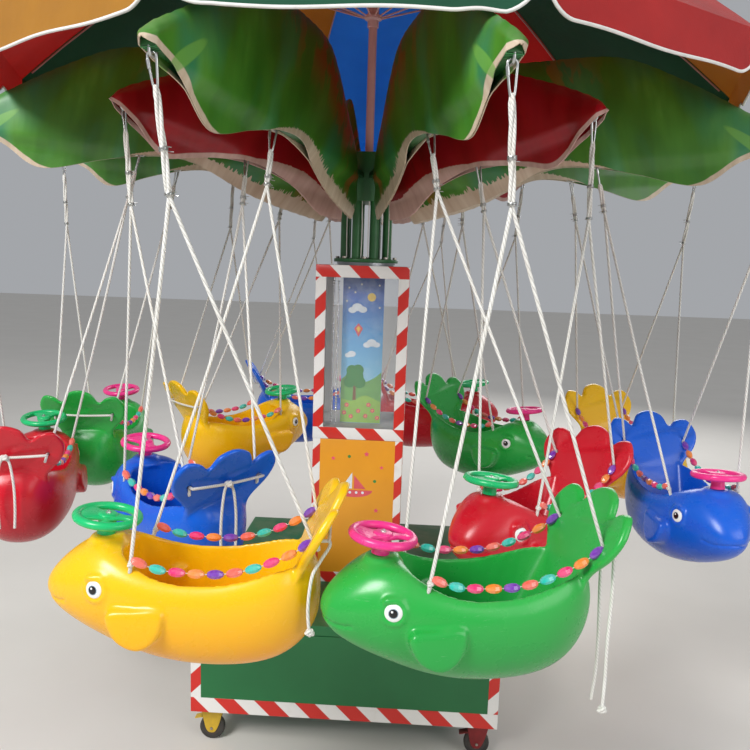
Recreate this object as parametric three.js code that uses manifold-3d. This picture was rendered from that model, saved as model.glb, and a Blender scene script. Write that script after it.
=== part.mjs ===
// Chair swing ride: a cabinet on casters carries a square column. On the column turns a crown of
// twelve arms under palm leaves and a beach umbrella, with a dolphin seat on ropes below each arm.
// Millimetres, +Z up, origin on the ground under the middle of the cabinet.
import * as THREE from 'three';
import { mergeVertices } from 'three/addons/utils/BufferGeometryUtils.js';
import Module from 'manifold-3d';

const wasm = await Module();
wasm.setup();

// Gaps between touching pieces, and how far welded pieces run into each other
const GAP = 0.3;
const BEARING_GAP = 0.6;
const WELD = 4;
// How far a cutting shape runs past what it cuts
const CUT_RUN = 20;

// Half the side of a square with about the same area as a circle of radius 1
const SQUARE_SHARE = 0.87;

// Cabinet, its casters and the rails that carry them
const CABINET_SIDE = 1142;
const CABINET_BOTTOM = 142;
const CABINET_TOP = 510;
const CASTER_OFFSET = 505;
const CASTER_WHEEL_RADIUS = 48;
const CASTER_WHEEL_SIDES = 12;
const CASTER_AXLE = CASTER_WHEEL_RADIUS * Math.cos(Math.PI / CASTER_WHEEL_SIDES);
const CASTER_WHEEL_WIDTH = 30;
const CASTER_FORK_WALL = 6;
// Fork outline as distance along the wheel and height above the axle or below the plate
const CASTER_FORK = { back: -40, front: 44, tipBack: -20, tipFront: 12, below: 14 };
const CASTER_PLATE_SIDE = 96;
const CASTER_PLATE_WIDTH = 76.8;
const CASTER_PLATE_THICKNESS = 8;
const RAIL_SIDE = 30;

// Column
const COLUMN_SIDE = 368;
const HOUSING_SIDE = 364;
const HOUSING_TOP = 1120;
const COLUMN_TOP = 1817;
const COLUMN_POST = 42;
const COLUMN_RAIL = 48;
const BOARD_WIDTH = 168;
const BOARD_THICKNESS = 6;
const BOARD_Y = -74;
const DRIVE_POST_RADIUS = 38;
const DRIVE_POST_SIDES = 12;

// Crown: slewing plate, trunk of tubes, hub and arms
const BEARING_RADIUS = 120;
const BEARING_HEIGHT = 12;
const BEARING_SIDES = 20;
const SLEWING_PLATE_RADIUS = 132;
const SLEWING_PLATE_THICKNESS = 14;
const TRUNK_TUBES = 8;
const TRUNK_RADIUS = 92;
const TRUNK_TUBE_RADIUS = 19;
const TRUNK_TUBE_SIDES = 6;
const HUB_RADIUS = 112;
const HUB_BOTTOM = 2070;
const HUB_TOP = 2260;
const HUB_SIDES = 12;
const ARM_WIDTH = 40;
const ARM_HEIGHT = 22;
const ARM_START = 90;
const HOOK_DROP = 17;
const HOOK_BAR = 8;
const HOOK_LEG = 6;
const HOOK_SPAN = 36;

// Arms and what hangs on them, one entry for each sort of arm: radius and height of both hooks,
// and the radius at which the seat hangs
const LONG_ARM = { outer: [1500, 2255], inner: [893, 2205], seatRadius: 1306, tip: 1514 };
const SHORT_ARM = { outer: [1030, 2277], inner: [579, 2181], seatRadius: 876, tip: 1044 };

// Arms counter-clockwise from the front left, with the seat colour and the nose's turn outward in degrees
const FIRST_ARM_ANGLE = -15;
const ARM_PITCH = 30;
const LEADER_TURN = 20;
const LEADER_AHEAD = 40;
const FOLLOWER_AHEAD = -6;
// The two seats of a pair hang staggered: the leader ahead with its nose out, the follower behind it
const LEADER = { arm: LONG_ARM, turn: LEADER_TURN, ahead: LEADER_AHEAD };
const FOLLOWER = { arm: LONG_ARM, turn: 0, ahead: FOLLOWER_AHEAD };
const SINGLE = { arm: SHORT_ARM, turn: 0, ahead: 0 };
const ARMS = [
  { ...LEADER, seat: 'yellow' }, { ...FOLLOWER, seat: 'green' }, { ...SINGLE, seat: 'red' },
  { ...LEADER, seat: 'blue' }, { ...FOLLOWER, seat: 'yellow' }, { ...SINGLE, seat: 'green' },
  { ...LEADER, seat: 'red' }, { ...FOLLOWER, seat: 'blue' }, { ...SINGLE, seat: 'yellow' },
  { ...LEADER, seat: 'green' }, { ...FOLLOWER, seat: 'red' }, { ...SINGLE, seat: 'blue' },
];

// Leaves: back and hem of each sort in its arm's upright plane, as radius and height
const LEAF_HALF_WIDTH = 23.5;
const LEAF_WALL = 3;
const LEAF_BACK_WALL = 4.8;
const LEAF_HOLLOW_DEPTH = 400;
const LEAF_HOLLOW_RUN = 60;
const LONG_LEAF = {
  back: [
    [132, 2085], [170, 2260], [265, 2385], [360, 2500], [470, 2575], [700, 2594], [950, 2592],
    [1170, 2505], [1370, 2398], [1500, 2328], [1545, 2284],
  ],
  hem: [[1380, 2222], [1250, 2140], [1040, 2178], [870, 2206], [700, 2192], [460, 2070], [200, 1990]],
};
const SHORT_LEAF = {
  back: [
    [132, 2085], [170, 2240], [250, 2350], [360, 2450], [470, 2490], [650, 2480], [820, 2430],
    [960, 2378], [1040, 2340], [1078, 2304],
  ],
  hem: [
    [985, 2225], [900, 2150], [800, 2158], [690, 2170], [550, 2165], [380, 2105], [250, 2010], [140, 1995],
  ],
};

// Umbrella: ten straight panels
const UMBRELLA_PANELS = 10;
const UMBRELLA_FIRST_RIB = -17;
const UMBRELLA_RIM_RADIUS = 1420;
const UMBRELLA_RISE = 700;
const UMBRELLA_TOP = 3220;
const UMBRELLA_POWER = 1.7;
const UMBRELLA_CLOTH = 6;
const VALANCE_BOTTOM = 2430;
const MAST_RADIUS = 16.5;
const MAST_BOTTOM = HUB_TOP + GAP;
const MAST_SIDES = 8;
const RIB_RADIUS = 4;
const RIB_SIDES = 4;
// Each rib has two straight stretches, between these shares of the rim radius
const RIB_STRETCHES = [[0.01, 0.5], [0.498, 0.97]];
const RIB_SEAT = 5;
const MAST_SEAT = 3.7;
// Rings of the cloth as shares of the rim radius
const CLOTH_RINGS = [0, 0.25, 0.48, 0.68, 0.85, 1];

// Seat: height of its lowest point, then hull stations from the nose to the tail as
// distance forward, keel height, deck height, half-width and the flat share of the deck
const SEAT_BOTTOM = 752;
const HUMP_TOP = 346;
const HULL_STATIONS = [
  [360, 196, 228, 30, 0.5],
  [330, 152, 270, 64, 0.5],
  [262, 108, 326, 108, 0.5],
  [190, 74, HUMP_TOP, 138, 0.62],
  [119, 44, 308, 152, 0.84],
  [20, 16, 281, 162, 0.88],
  [-90, 6, 277, 163, 0.88],
  [-190, 8, 297, 157, 0.88],
  [-265, 28, 322, 138, 0.86],
  [-318, 70, 318, 106, 0.8],
  [-346, 118, 278, 72, 0.7],
  [-356, 160, 236, 44, 0.6],
];
// Cross-section from the keel up one side, as shares of the half-width and of the height
const HULL_SIDE = [[0.52, 0.05], [0.9, 0.3], [1, 0.72]];
// Tub outline as share of its length from the back rest and half-width at the rim
const TUB_OUTLINE = [
  [1, 54], [0.93, 98], [0.72, 130], [0.3, 130], [0.06, 104], [0, 66],
];
const TUB_FLOOR = 70;
const TUB_RIM = 280;
const TUB_CUT_TOP = 520;
const TUB_FRONT = 148;
const TUB_FRONT_LEAN = 0.06;
const TUB_DRAFT = 0.0007;
const TUB_REAR_GAP = 1.5;
const FAN_OUTLINE = [
  [96, 235], [112, 300], [158, 362], [170, 418], [142, 462], [98, 458], [66, 436],
  [46, 478], [0, 494],
];
const FAN_THICKNESS = 28;
const FAN_FRONT = [-346, 383];
const FAN_LEAN = 0.53;
const FIN_OUTLINE = [[160, 206], [24, 210], [36, 150], [80, 122], [134, 150]];
const FIN_INNER = 118;
const FIN_OUTER = 170;
const HOLE_SIDE = 124;
const FRONT_HOLE = [112, 309.2];
const TAIL_HOLE = [-346, 383];
const TAIL_HOLE_RADIUS = 8;
const TAIL_HOLE_SIDES = 6;

// Steering wheel
const WHEEL_CENTRE = [205, 394];
const WHEEL_RADIUS = 78;
const WHEEL_TUBE = 12;
const WHEEL_TILT = 7;
const WHEEL_RING_SIDES = 4;
const WHEEL_RING_STEPS = 12;
const WHEEL_SPOKE = { halfWidth: 26, halfThickness: 6 };
const WHEEL_STEM_RADIUS = 24;
const WHEEL_STEM_SIDES = 8;
const WHEEL_HUB_RISE = 10;

// Ropes: how far below its hook each piece lies
const ROPE_RADIUS = 5;
const ROPE_BEHIND = 7.4;
const BUNDLE_RADIUS = 8.5;
// A bundle points at this share of the way from the front hole to the tail hole
const BUNDLE_AIM = 0.45;
const BUNDLE_OVERLAP = 6;
// The loop bends in at its top to this share of the width, and its shoulders lie this share below
const CARABINER = { length: 76, width: 30, wire: 7, neck: 0.5, shoulder: 0.8, grip: 20 };
const CARABINER_PLAY = 1.5;
const OUTER_SPLIT = 300;
const INNER_SPLIT = 170;
const CLIP_RADIUS = 13;
const CLIP_HEIGHT = 16;
const OUTER_CLIP = 185;
const INNER_CLIP = 130;
const KNOT_RADIUS = 7;
const KNOT_HEIGHT = 12;
// Height of the short cone between a thick and a thin stretch of rope
const ROPE_STEP = 1;

// Loose rope ends behind three tail holes, as routes in the seat's frame from the crossing rope down
const TAIL_CORD_RADIUS = 4.5;
const TAIL_CORD_SIDES = 8;
const TAIL_CORD_STEP = 24;
const TAIL_CORD_TOP = 377.8;
const TAIL_CORDS = [
  {
    name: 'rope_end_yellow',
    seatIndex: 0,
    route: [
      [-381.4, 112, TAIL_CORD_TOP], [-380, 113, 362], [-358, 118, 326], [-338, 122, 284], [-330, 126, 200],
      [-336, 125, 128],
    ],
  },
  {
    name: 'rope_end_green_plain',
    seatIndex: 1,
    route: [[-381.4, 44, TAIL_CORD_TOP], [-384, 46, 250], [-388, 50, 120], [-392, 46, 10], [-388, 40, -88]],
  },
  {
    name: 'rope_end_green_knotted',
    seatIndex: 1,
    route: [[-381.4, 104, TAIL_CORD_TOP], [-386, 106, 250], [-380, 112, 130], [-384, 108, 10], [-380, 112, -84]],
  },
];

const COLOURS = {
  yellow: '#f4bd12', green: '#2a9d50', red: '#b51e3a', blue: '#1d4ea6', leafGreen: '#2e6b1c',
  leafRed: '#8c0f1b', cabinet: '#1f5b35', column: '#d9951a', tape: '#c9cdd2', frame: '#2c6a34',
  pink: '#e8559c', rope: '#e4e0d6', steel: '#8d8f92', mast: '#c08f90', cloth: '#2b6a3c', board: '#7fb7d6',
};

const radians = THREE.MathUtils.degToRad;

function material(colour, roughness = 0.5, metalness = 0) {
  return new THREE.MeshStandardMaterial({ color: COLOURS[colour], roughness, metalness });
}

// Booleans

function solid(geometry) {
  const bare = geometry.clone();
  bare.deleteAttribute('normal');
  bare.deleteAttribute('uv');
  const merged = mergeVertices(bare, 1e-3);
  const vertProperties = new Float32Array(merged.attributes.position.array);
  const triVerts = new Uint32Array(merged.index.array);
  return new wasm.Manifold(new wasm.Mesh({ numProp: 3, vertProperties, triVerts }));
}

function skin(body) {
  const { vertProperties, triVerts, numProp } = body.getMesh();
  const positions = new Float32Array((vertProperties.length / numProp) * 3);
  for (let i = 0; i < positions.length / 3; i += 1) {
    positions.set(vertProperties.subarray(i * numProp, i * numProp + 3), i * 3);
  }
  const geometry = new THREE.BufferGeometry();
  geometry.setAttribute('position', new THREE.BufferAttribute(positions, 3));
  geometry.setIndex(new THREE.BufferAttribute(new Uint32Array(triVerts), 1));
  geometry.computeVertexNormals();
  return geometry;
}

function join(geometries) {
  return geometries.map(solid).reduce((whole, piece) => whole.add(piece));
}

function named(name, geometry, finish) {
  const mesh = new THREE.Mesh(geometry, finish);
  mesh.name = name;
  return mesh;
}

// Plain shapes

function block(from, to) {
  const size = to.map((value, axis) => value - from[axis]);
  const centre = to.map((value, axis) => (value + from[axis]) / 2);
  return new THREE.BoxGeometry(...size).translate(...centre);
}

function drum(radius, bottom, top, sides) {
  return new THREE.CylinderGeometry(radius, radius, top - bottom, sides)
    .rotateX(Math.PI / 2)
    .translate(0, 0, (top + bottom) / 2);
}

function bar(from, to, radius, sides) {
  const start = new THREE.Vector3(...from);
  const reach = new THREE.Vector3(...to).sub(start);
  const turn = new THREE.Quaternion().setFromUnitVectors(new THREE.Vector3(0, 1, 0), reach.clone().normalize());
  return new THREE.CylinderGeometry(radius, radius, reach.length(), sides)
    .translate(0, reach.length() / 2, 0)
    .applyQuaternion(turn)
    .translate(...from);
}

// A flat plate: its outline is given in two axes and it is thick along the third one
function plate(outline, thickness) {
  const shape = new THREE.Shape(outline.map(([x, y]) => new THREE.Vector2(x, y)));
  return new THREE.ExtrudeGeometry(shape, { depth: thickness, bevelEnabled: false });
}

function mirrored(half) {
  const other = half.filter(([side]) => side > 0).map(([side, height]) => [-side, height]);
  return [...half, ...other.reverse()];
}

// A closed skin through rings of points. Each ring runs the same way round, and all have the same count.
function loft(rings) {
  const around = rings[0].length;
  const body = new THREE.CylinderGeometry(1, 1, 1, around, rings.length - 1);
  const place = body.attributes.position;
  for (let i = 0; i < place.count; i += 1) {
    const ring = rings[Math.round((0.5 - place.getY(i)) * (rings.length - 1))];
    const isCentre = Math.hypot(place.getX(i), place.getZ(i)) < 0.5;
    const angle = Math.atan2(place.getX(i), place.getZ(i)) / (2 * Math.PI);
    const index = (Math.round(angle * around) + around) % around;
    const centre = [0, 1, 2].map((axis) => ring.reduce((sum, point) => sum + point[axis] / around, 0));
    place.setXYZ(i, ...(isCentre ? centre : ring[index]));
  }
  return body;
}

// A square-sided rod through places, each given as a point and a radius there
function rod(places) {
  const points = places.map(([point]) => new THREE.Vector3(...point));
  const ways = points.slice(1).map((point, i) => point.clone().sub(points[i]).normalize());
  let side = new THREE.Vector3(0, 0, 1).cross(ways[0]);
  if (side.length() < 0.2) {
    side = new THREE.Vector3(0, 1, 0).cross(ways[0]);
  }
  return loft(places.map(([, radius], i) => {
    const before = ways[Math.max(i - 1, 0)];
    const way = before.clone().add(ways[Math.min(i, ways.length - 1)]).normalize();
    side = side.clone().addScaledVector(way, -side.dot(way)).normalize();
    const other = side.clone().cross(way);
    return [[1, 1], [-1, 1], [-1, -1], [1, -1]].map(([a, b]) => points[i].clone()
      .addScaledVector(side, a * radius * SQUARE_SHARE)
      .addScaledVector(other, b * radius * SQUARE_SHARE)
      .toArray());
  }));
}

// Column and cabinet

function casterPieces(x, y) {
  const plateBottom = CABINET_BOTTOM - GAP - CASTER_PLATE_THICKNESS;
  const half = CASTER_PLATE_SIDE / 2;
  const forkInner = CASTER_WHEEL_WIDTH / 2 - WELD / 4;
  const forkOuter = forkInner + CASTER_FORK_WALL;
  const { back, front, tipBack, tipFront, below } = CASTER_FORK;
  const top = plateBottom + WELD / 2;
  const tip = CASTER_AXLE - below;
  const side = [[back, top], [tipBack, tip], [tipFront, tip], [front, top]];
  const fork = (inner, outer) => plate(side, outer - inner)
    .rotateX(Math.PI / 2)
    .translate(0, outer, 0);
  return [
    block(
      [-half, -CASTER_PLATE_WIDTH / 2, plateBottom],
      [half, CASTER_PLATE_WIDTH / 2, plateBottom + CASTER_PLATE_THICKNESS],
    ),
    fork(forkInner, forkOuter),
    fork(-forkOuter, -forkInner),
    new THREE.CylinderGeometry(
      CASTER_WHEEL_RADIUS,
      CASTER_WHEEL_RADIUS,
      CASTER_WHEEL_WIDTH,
      CASTER_WHEEL_SIDES,
    )
      .rotateY(Math.PI / CASTER_WHEEL_SIDES)
      .translate(0, 0, CASTER_AXLE),
  ].map((piece) => piece.translate(x, y, 0));
}

function underframe() {
  const top = CABINET_BOTTOM - GAP;
  const reach = CASTER_OFFSET + RAIL_SIDE / 2;
  const pieces = [];
  for (const side of [-1, 1]) {
    const centre = side * CASTER_OFFSET;
    const half = RAIL_SIDE / 2;
    pieces.push(block([-reach, centre - half, top - RAIL_SIDE], [reach, centre + half, top]));
    pieces.push(block([centre - half, -reach, top - RAIL_SIDE], [centre + half, reach, top]));
    for (const other of [-1, 1]) {
      pieces.push(...casterPieces(centre, other * CASTER_OFFSET));
    }
  }
  return named('underframe_and_casters', skin(join(pieces)), material('steel', 0.6, 0.4));
}

function cabinet() {
  const half = CABINET_SIDE / 2;
  const body = block([-half, -half, CABINET_BOTTOM], [half, half, CABINET_TOP]);
  return named('base_cabinet', body, material('cabinet', 0.45));
}

function columnHousing() {
  const half = HOUSING_SIDE / 2;
  const body = block([-half, -half, CABINET_TOP + GAP], [half, half, HOUSING_TOP]);
  return named('column_housing', body, material('column', 0.5));
}

function windowFrame() {
  const half = COLUMN_SIDE / 2;
  const inner = half - COLUMN_POST;
  const bottom = HOUSING_TOP + GAP;
  const glassBottom = bottom + COLUMN_RAIL;
  const glassTop = COLUMN_TOP - COLUMN_RAIL;
  const beyond = half + CUT_RUN;
  const bearing = drum(BEARING_RADIUS, COLUMN_TOP - BEARING_HEIGHT, COLUMN_TOP + BEARING_HEIGHT, BEARING_SIDES);
  const body = solid(block([-half, -half, bottom], [half, half, COLUMN_TOP]))
    .add(solid(bearing))
    .subtract(solid(block([-inner, -beyond, glassBottom], [inner, beyond, glassTop])))
    .subtract(solid(block([-beyond, -inner, glassBottom], [beyond, inner, glassTop])));
  return named('window_frame', skin(body), material('tape', 0.4));
}

function drivePost() {
  const bottom = HOUSING_TOP + GAP + COLUMN_RAIL + GAP;
  const top = COLUMN_TOP - COLUMN_RAIL - GAP;
  const body = drum(DRIVE_POST_RADIUS, bottom, top, DRIVE_POST_SIDES);
  return named('drive_post', body, material('steel', 0.4, 0.7));
}

function displayBoard() {
  const bottom = HOUSING_TOP + GAP + COLUMN_RAIL + GAP;
  const top = COLUMN_TOP - COLUMN_RAIL - GAP;
  const half = BOARD_WIDTH / 2;
  const body = block([-half, BOARD_Y - BOARD_THICKNESS, bottom], [half, BOARD_Y, top]);
  return named('display_board', body, material('board', 0.5));
}

// Crown

// Height of the line through both hooks of an arm, at any radius
function hookLine(arm, radius) {
  const slope = (arm.outer[1] - arm.inner[1]) / (arm.outer[0] - arm.inner[0]);
  return arm.inner[1] + (radius - arm.inner[0]) * slope;
}

// An arm lies along +X of its own group, above the hook line
function armPieces(arm) {
  const half = ARM_WIDTH / 2;
  const corner = (radius, lift) => [radius, hookLine(arm, radius) + HOOK_DROP + lift];
  const outline = [
    corner(ARM_START, 0), corner(arm.tip, 0), corner(arm.tip, ARM_HEIGHT), corner(ARM_START, ARM_HEIGHT),
  ];
  const tube = plate(outline, ARM_WIDTH).rotateX(Math.PI / 2).translate(0, half, 0);
  return [tube, ...[arm.outer, arm.inner].map(([radius]) => hookPiece(arm, radius))];
}

// A hook is a stirrup below the arm, and its lower bar lies on the hook line
function hookPiece(arm, radius) {
  const start = radius - HOOK_SPAN / 2;
  const end = Math.min(radius + HOOK_SPAN / 2, arm.tip);
  const halfBar = HOOK_BAR / 2;
  const at = (place, lift) => [place, hookLine(arm, place) + lift];
  const above = HOOK_DROP + WELD;
  const outline = [
    at(start, above), at(start, -halfBar), at(end, -halfBar), at(end, above),
    at(end - HOOK_LEG, above), at(end - HOOK_LEG, halfBar),
    at(start + HOOK_LEG, halfBar), at(start + HOOK_LEG, above),
  ];
  return plate(outline, HOOK_BAR).rotateX(Math.PI / 2).translate(0, halfBar, 0);
}

function armAngle(index) {
  return radians(FIRST_ARM_ANGLE + index * ARM_PITCH - 90);
}

function crownFrame() {
  const plateBottom = COLUMN_TOP + BEARING_HEIGHT + BEARING_GAP;
  const plateTop = plateBottom + SLEWING_PLATE_THICKNESS;
  const pieces = [
    drum(SLEWING_PLATE_RADIUS, plateBottom, plateTop, BEARING_SIDES),
    drum(HUB_RADIUS, HUB_BOTTOM, HUB_TOP, HUB_SIDES),
  ];
  for (let i = 0; i < TRUNK_TUBES; i += 1) {
    const angle = (2 * Math.PI * (i + 0.5)) / TRUNK_TUBES;
    const x = TRUNK_RADIUS * Math.cos(angle);
    const y = TRUNK_RADIUS * Math.sin(angle);
    const tube = drum(TRUNK_TUBE_RADIUS, plateTop - WELD, HUB_BOTTOM + WELD, TRUNK_TUBE_SIDES);
    pieces.push(tube.translate(x, y, 0));
  }
  ARMS.forEach(({ arm }, index) => {
    pieces.push(...armPieces(arm).map((piece) => piece.rotateZ(armAngle(index))));
  });
  return named('crown_frame', skin(join(pieces)), material('frame', 0.5, 0.3));
}

function leaf(name, arm) {
  const isLong = arm === LONG_ARM;
  const { back, hem } = isLong ? LONG_LEAF : SHORT_LEAF;
  const across = (points, halfWidth) => plate(points, halfWidth * 2)
    .rotateX(Math.PI / 2)
    .translate(0, halfWidth, 0);
  // The hollow follows the back one wall below it and runs out through the root and the hem
  const lowered = back.map(([radius, height]) => [radius, height - LEAF_BACK_WALL]);
  const [rootRadius, rootHeight] = lowered[0];
  const [tipRadius, tipHeight] = lowered.at(-1);
  const hollow = [
    [rootRadius - LEAF_HOLLOW_RUN, rootHeight - LEAF_HOLLOW_DEPTH],
    [rootRadius - LEAF_HOLLOW_RUN, rootHeight + LEAF_HOLLOW_RUN],
    ...lowered.slice(1, -1),
    [tipRadius - LEAF_WALL, tipHeight - LEAF_WALL],
    [tipRadius - LEAF_WALL, tipHeight - LEAF_HOLLOW_DEPTH],
  ];
  const body = solid(across([...back, ...hem], LEAF_HALF_WIDTH))
    .subtract(solid(across(hollow, LEAF_HALF_WIDTH - LEAF_WALL)));
  return named(name, skin(body), material(isLong ? 'leafGreen' : 'leafRed', 0.45));
}

// Umbrella

function canopyHeight(radius) {
  return UMBRELLA_TOP - UMBRELLA_RISE * (radius / UMBRELLA_RIM_RADIUS) ** UMBRELLA_POWER;
}

function canopy() {
  const rim = UMBRELLA_RIM_RADIUS;
  const outer = CLOTH_RINGS.map((share) => [rim * share, canopyHeight(rim * share)]);
  const inner = CLOTH_RINGS.map((share) => {
    const radius = (rim - UMBRELLA_CLOTH) * share;
    return [radius, canopyHeight(radius) - UMBRELLA_CLOTH];
  });
  const profile = [
    ...inner, [rim - UMBRELLA_CLOTH, VALANCE_BOTTOM], [rim, VALANCE_BOTTOM], ...outer.slice().reverse(),
  ].map(([radius, height]) => new THREE.Vector2(radius, height));
  const body = new THREE.LatheGeometry(profile, UMBRELLA_PANELS, radians(UMBRELLA_FIRST_RIB))
    .rotateX(Math.PI / 2);
  return named('umbrella_canopy', skin(solid(body)), material('cloth', 0.8));
}

function umbrellaFrame() {
  const below = UMBRELLA_CLOTH + RIB_RADIUS + RIB_SEAT;
  const pieces = [drum(MAST_RADIUS, MAST_BOTTOM, UMBRELLA_TOP - UMBRELLA_CLOTH - MAST_SEAT, MAST_SIDES)];
  for (let i = 0; i < UMBRELLA_PANELS; i += 1) {
    const angle = radians(UMBRELLA_FIRST_RIB + (i * 360) / UMBRELLA_PANELS - 90);
    const at = (share) => {
      const radius = UMBRELLA_RIM_RADIUS * share;
      return [radius, 0, canopyHeight(radius) - below];
    };
    RIB_STRETCHES.forEach(([start, end]) => {
      pieces.push(bar(at(start), at(end), RIB_RADIUS, RIB_SIDES).rotateZ(angle));
    });
  }
  return named('umbrella_mast', skin(join(pieces)), material('mast', 0.4, 0.5));
}

// Seat, in its own frame: +X forward, +Y to the outside of the ride, height above the lowest point

function hullSection([, low, high, halfWidth, deck]) {
  const height = high - low;
  const side = HULL_SIDE.map(([across, up]) => [across * halfWidth, low + up * height]);
  const rim = [deck * halfWidth, high];
  const left = [[0, low], ...side, rim, [0, high]];
  const right = [...side, rim].map(([across, up]) => [-across, up]).reverse();
  return [...left, ...right];
}

function hull() {
  return loft(HULL_STATIONS.map((station) => hullSection(station)
    .map(([across, up]) => [station[0], across, up])));
}

function tub() {
  const outline = [...TUB_OUTLINE, ...TUB_OUTLINE.map(([share, side]) => [share, -side]).reverse()];
  const body = plate(outline, TUB_CUT_TOP - TUB_FLOOR);
  const place = body.attributes.position;
  for (let i = 0; i < place.count; i += 1) {
    const height = TUB_FLOOR + place.getZ(i);
    const narrowing = 1 - TUB_DRAFT * Math.max(0, TUB_RIM - height);
    const rear = fanFront(height) + TUB_REAR_GAP;
    const front = TUB_FRONT + (height - TUB_RIM) * TUB_FRONT_LEAN;
    place.setXYZ(i, rear + place.getX(i) * (front - rear), place.getY(i) * narrowing, height);
  }
  return body;
}

// How far forward the front face of the tail fan, which is also the back rest, lies at a height
function fanFront(height) {
  return FAN_FRONT[0] - (height - FAN_FRONT[1]) * FAN_LEAN;
}

function fan() {
  const outline = mirrored(FAN_OUTLINE);
  const body = plate(outline, FAN_THICKNESS).rotateX(Math.PI / 2).rotateZ(Math.PI / 2);
  const place = body.attributes.position;
  for (let i = 0; i < place.count; i += 1) {
    place.setX(i, fanFront(place.getZ(i)) - FAN_THICKNESS + place.getX(i));
  }
  return body;
}

function fin(side) {
  const thick = FIN_OUTER - FIN_INNER;
  const inner = side > 0 ? FIN_INNER : -FIN_OUTER;
  return plate(FIN_OUTLINE, thick).rotateX(Math.PI / 2).translate(0, inner + thick, 0);
}

function seatShellSolid() {
  const [forward, height] = TAIL_HOLE;
  const hole = (side) => bar(
    [forward + CUT_RUN, side * HOLE_SIDE, height],
    [forward - FAN_THICKNESS - CUT_RUN, side * HOLE_SIDE, height],
    TAIL_HOLE_RADIUS,
    TAIL_HOLE_SIDES,
  );
  return join([hull(), fan(), fin(1), fin(-1)])
    .subtract(solid(tub()))
    .subtract(solid(hole(1)))
    .subtract(solid(hole(-1)));
}

function wheelSolid() {
  const ring = new THREE.TorusGeometry(WHEEL_RADIUS, WHEEL_TUBE, WHEEL_RING_SIDES, WHEEL_RING_STEPS);
  const { halfWidth, halfThickness } = WHEEL_SPOKE;
  const spoke = block([-WHEEL_RADIUS, -halfWidth, -halfThickness], [0, halfWidth, halfThickness]);
  const pieces = [ring, spoke].map((piece) => piece
    .rotateY(-radians(WHEEL_TILT))
    .translate(WHEEL_CENTRE[0], 0, WHEEL_CENTRE[1]));
  const stemTop = WHEEL_CENTRE[1] + WHEEL_HUB_RISE;
  const stem = drum(WHEEL_STEM_RADIUS, HUMP_TOP + GAP, stemTop, WHEEL_STEM_SIDES)
    .translate(WHEEL_CENTRE[0], 0, 0);
  return join([...pieces, stem]);
}

// Where a place of the arm's group lies in the seat's frame
function inSeat(entry, radius, height) {
  const turn = radians(entry.turn);
  const outward = radius - entry.arm.seatRadius;
  const behind = -entry.ahead;
  return [
    Math.cos(turn) * behind + Math.sin(turn) * outward,
    Math.cos(turn) * outward - Math.sin(turn) * behind,
    height - SEAT_BOTTOM,
  ];
}

function along(from, to, share) {
  return from.map((value, axis) => value + (to[axis] - value) * share);
}

// What hangs on one hook: carabiner, bundle with its wire clip, and the rope to the seat's front
function hangerPieces(entry, side) {
  const { hook, splitDrop, clipDrop } = hangerSizes(entry, side);
  const middle = along(frontHole(side), tailHole(side), BUNDLE_AIM);
  const down = (drop) => along(hook, middle, drop / (hook[2] - middle[2]));
  const clipEnd = clipDrop + CLIP_HEIGHT;
  const [x, y, z] = frontHole(side);
  return [
    carabiner(hook, middle, radians(-entry.turn)),
    rod([
      [down(CARABINER.length - CARABINER.grip), BUNDLE_RADIUS], [down(clipDrop), BUNDLE_RADIUS],
      [down(clipDrop + ROPE_STEP), CLIP_RADIUS], [down(clipEnd), CLIP_RADIUS],
      [down(clipEnd + ROPE_STEP), BUNDLE_RADIUS], [down(splitDrop), BUNDLE_RADIUS],
    ]),
    rod([
      [down(splitDrop - BUNDLE_OVERLAP), ROPE_RADIUS], [[x, y, z + KNOT_HEIGHT + ROPE_STEP], ROPE_RADIUS],
      [[x, y, z + KNOT_HEIGHT], KNOT_RADIUS], [[x, y, z], KNOT_RADIUS],
    ]),
  ];
}

function hangerSizes(entry, side) {
  const isOuter = side > 0;
  const [radius, height] = isOuter ? entry.arm.outer : entry.arm.inner;
  return {
    hook: inSeat(entry, radius, height),
    splitDrop: isOuter ? OUTER_SPLIT : INNER_SPLIT,
    clipDrop: isOuter ? OUTER_CLIP : INNER_CLIP,
  };
}

function frontHole(side) {
  return [FRONT_HOLE[0], side * HOLE_SIDE, FRONT_HOLE[1]];
}

function tailHole(side) {
  return [TAIL_HOLE[0] + ROPE_RADIUS, side * HOLE_SIDE, TAIL_HOLE[1]];
}

function splitPoint(entry, side) {
  const { hook, splitDrop } = hangerSizes(entry, side);
  const middle = along(frontHole(side), tailHole(side), BUNDLE_AIM);
  return along(hook, middle, (splitDrop - BUNDLE_OVERLAP) / (hook[2] - middle[2]));
}

// One rope runs from the outer bundle through the fan, across behind it and up to the inner bundle
function tailRope(entry) {
  const behind = TAIL_HOLE[0] - FAN_THICKNESS - ROPE_BEHIND;
  const height = TAIL_HOLE[1];
  return rod([
    splitPoint(entry, 1), tailHole(1), [behind, HOLE_SIDE, height],
    [behind, -HOLE_SIDE, height], tailHole(-1), splitPoint(entry, -1),
  ].map((point) => [point, ROPE_RADIUS]));
}

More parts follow.
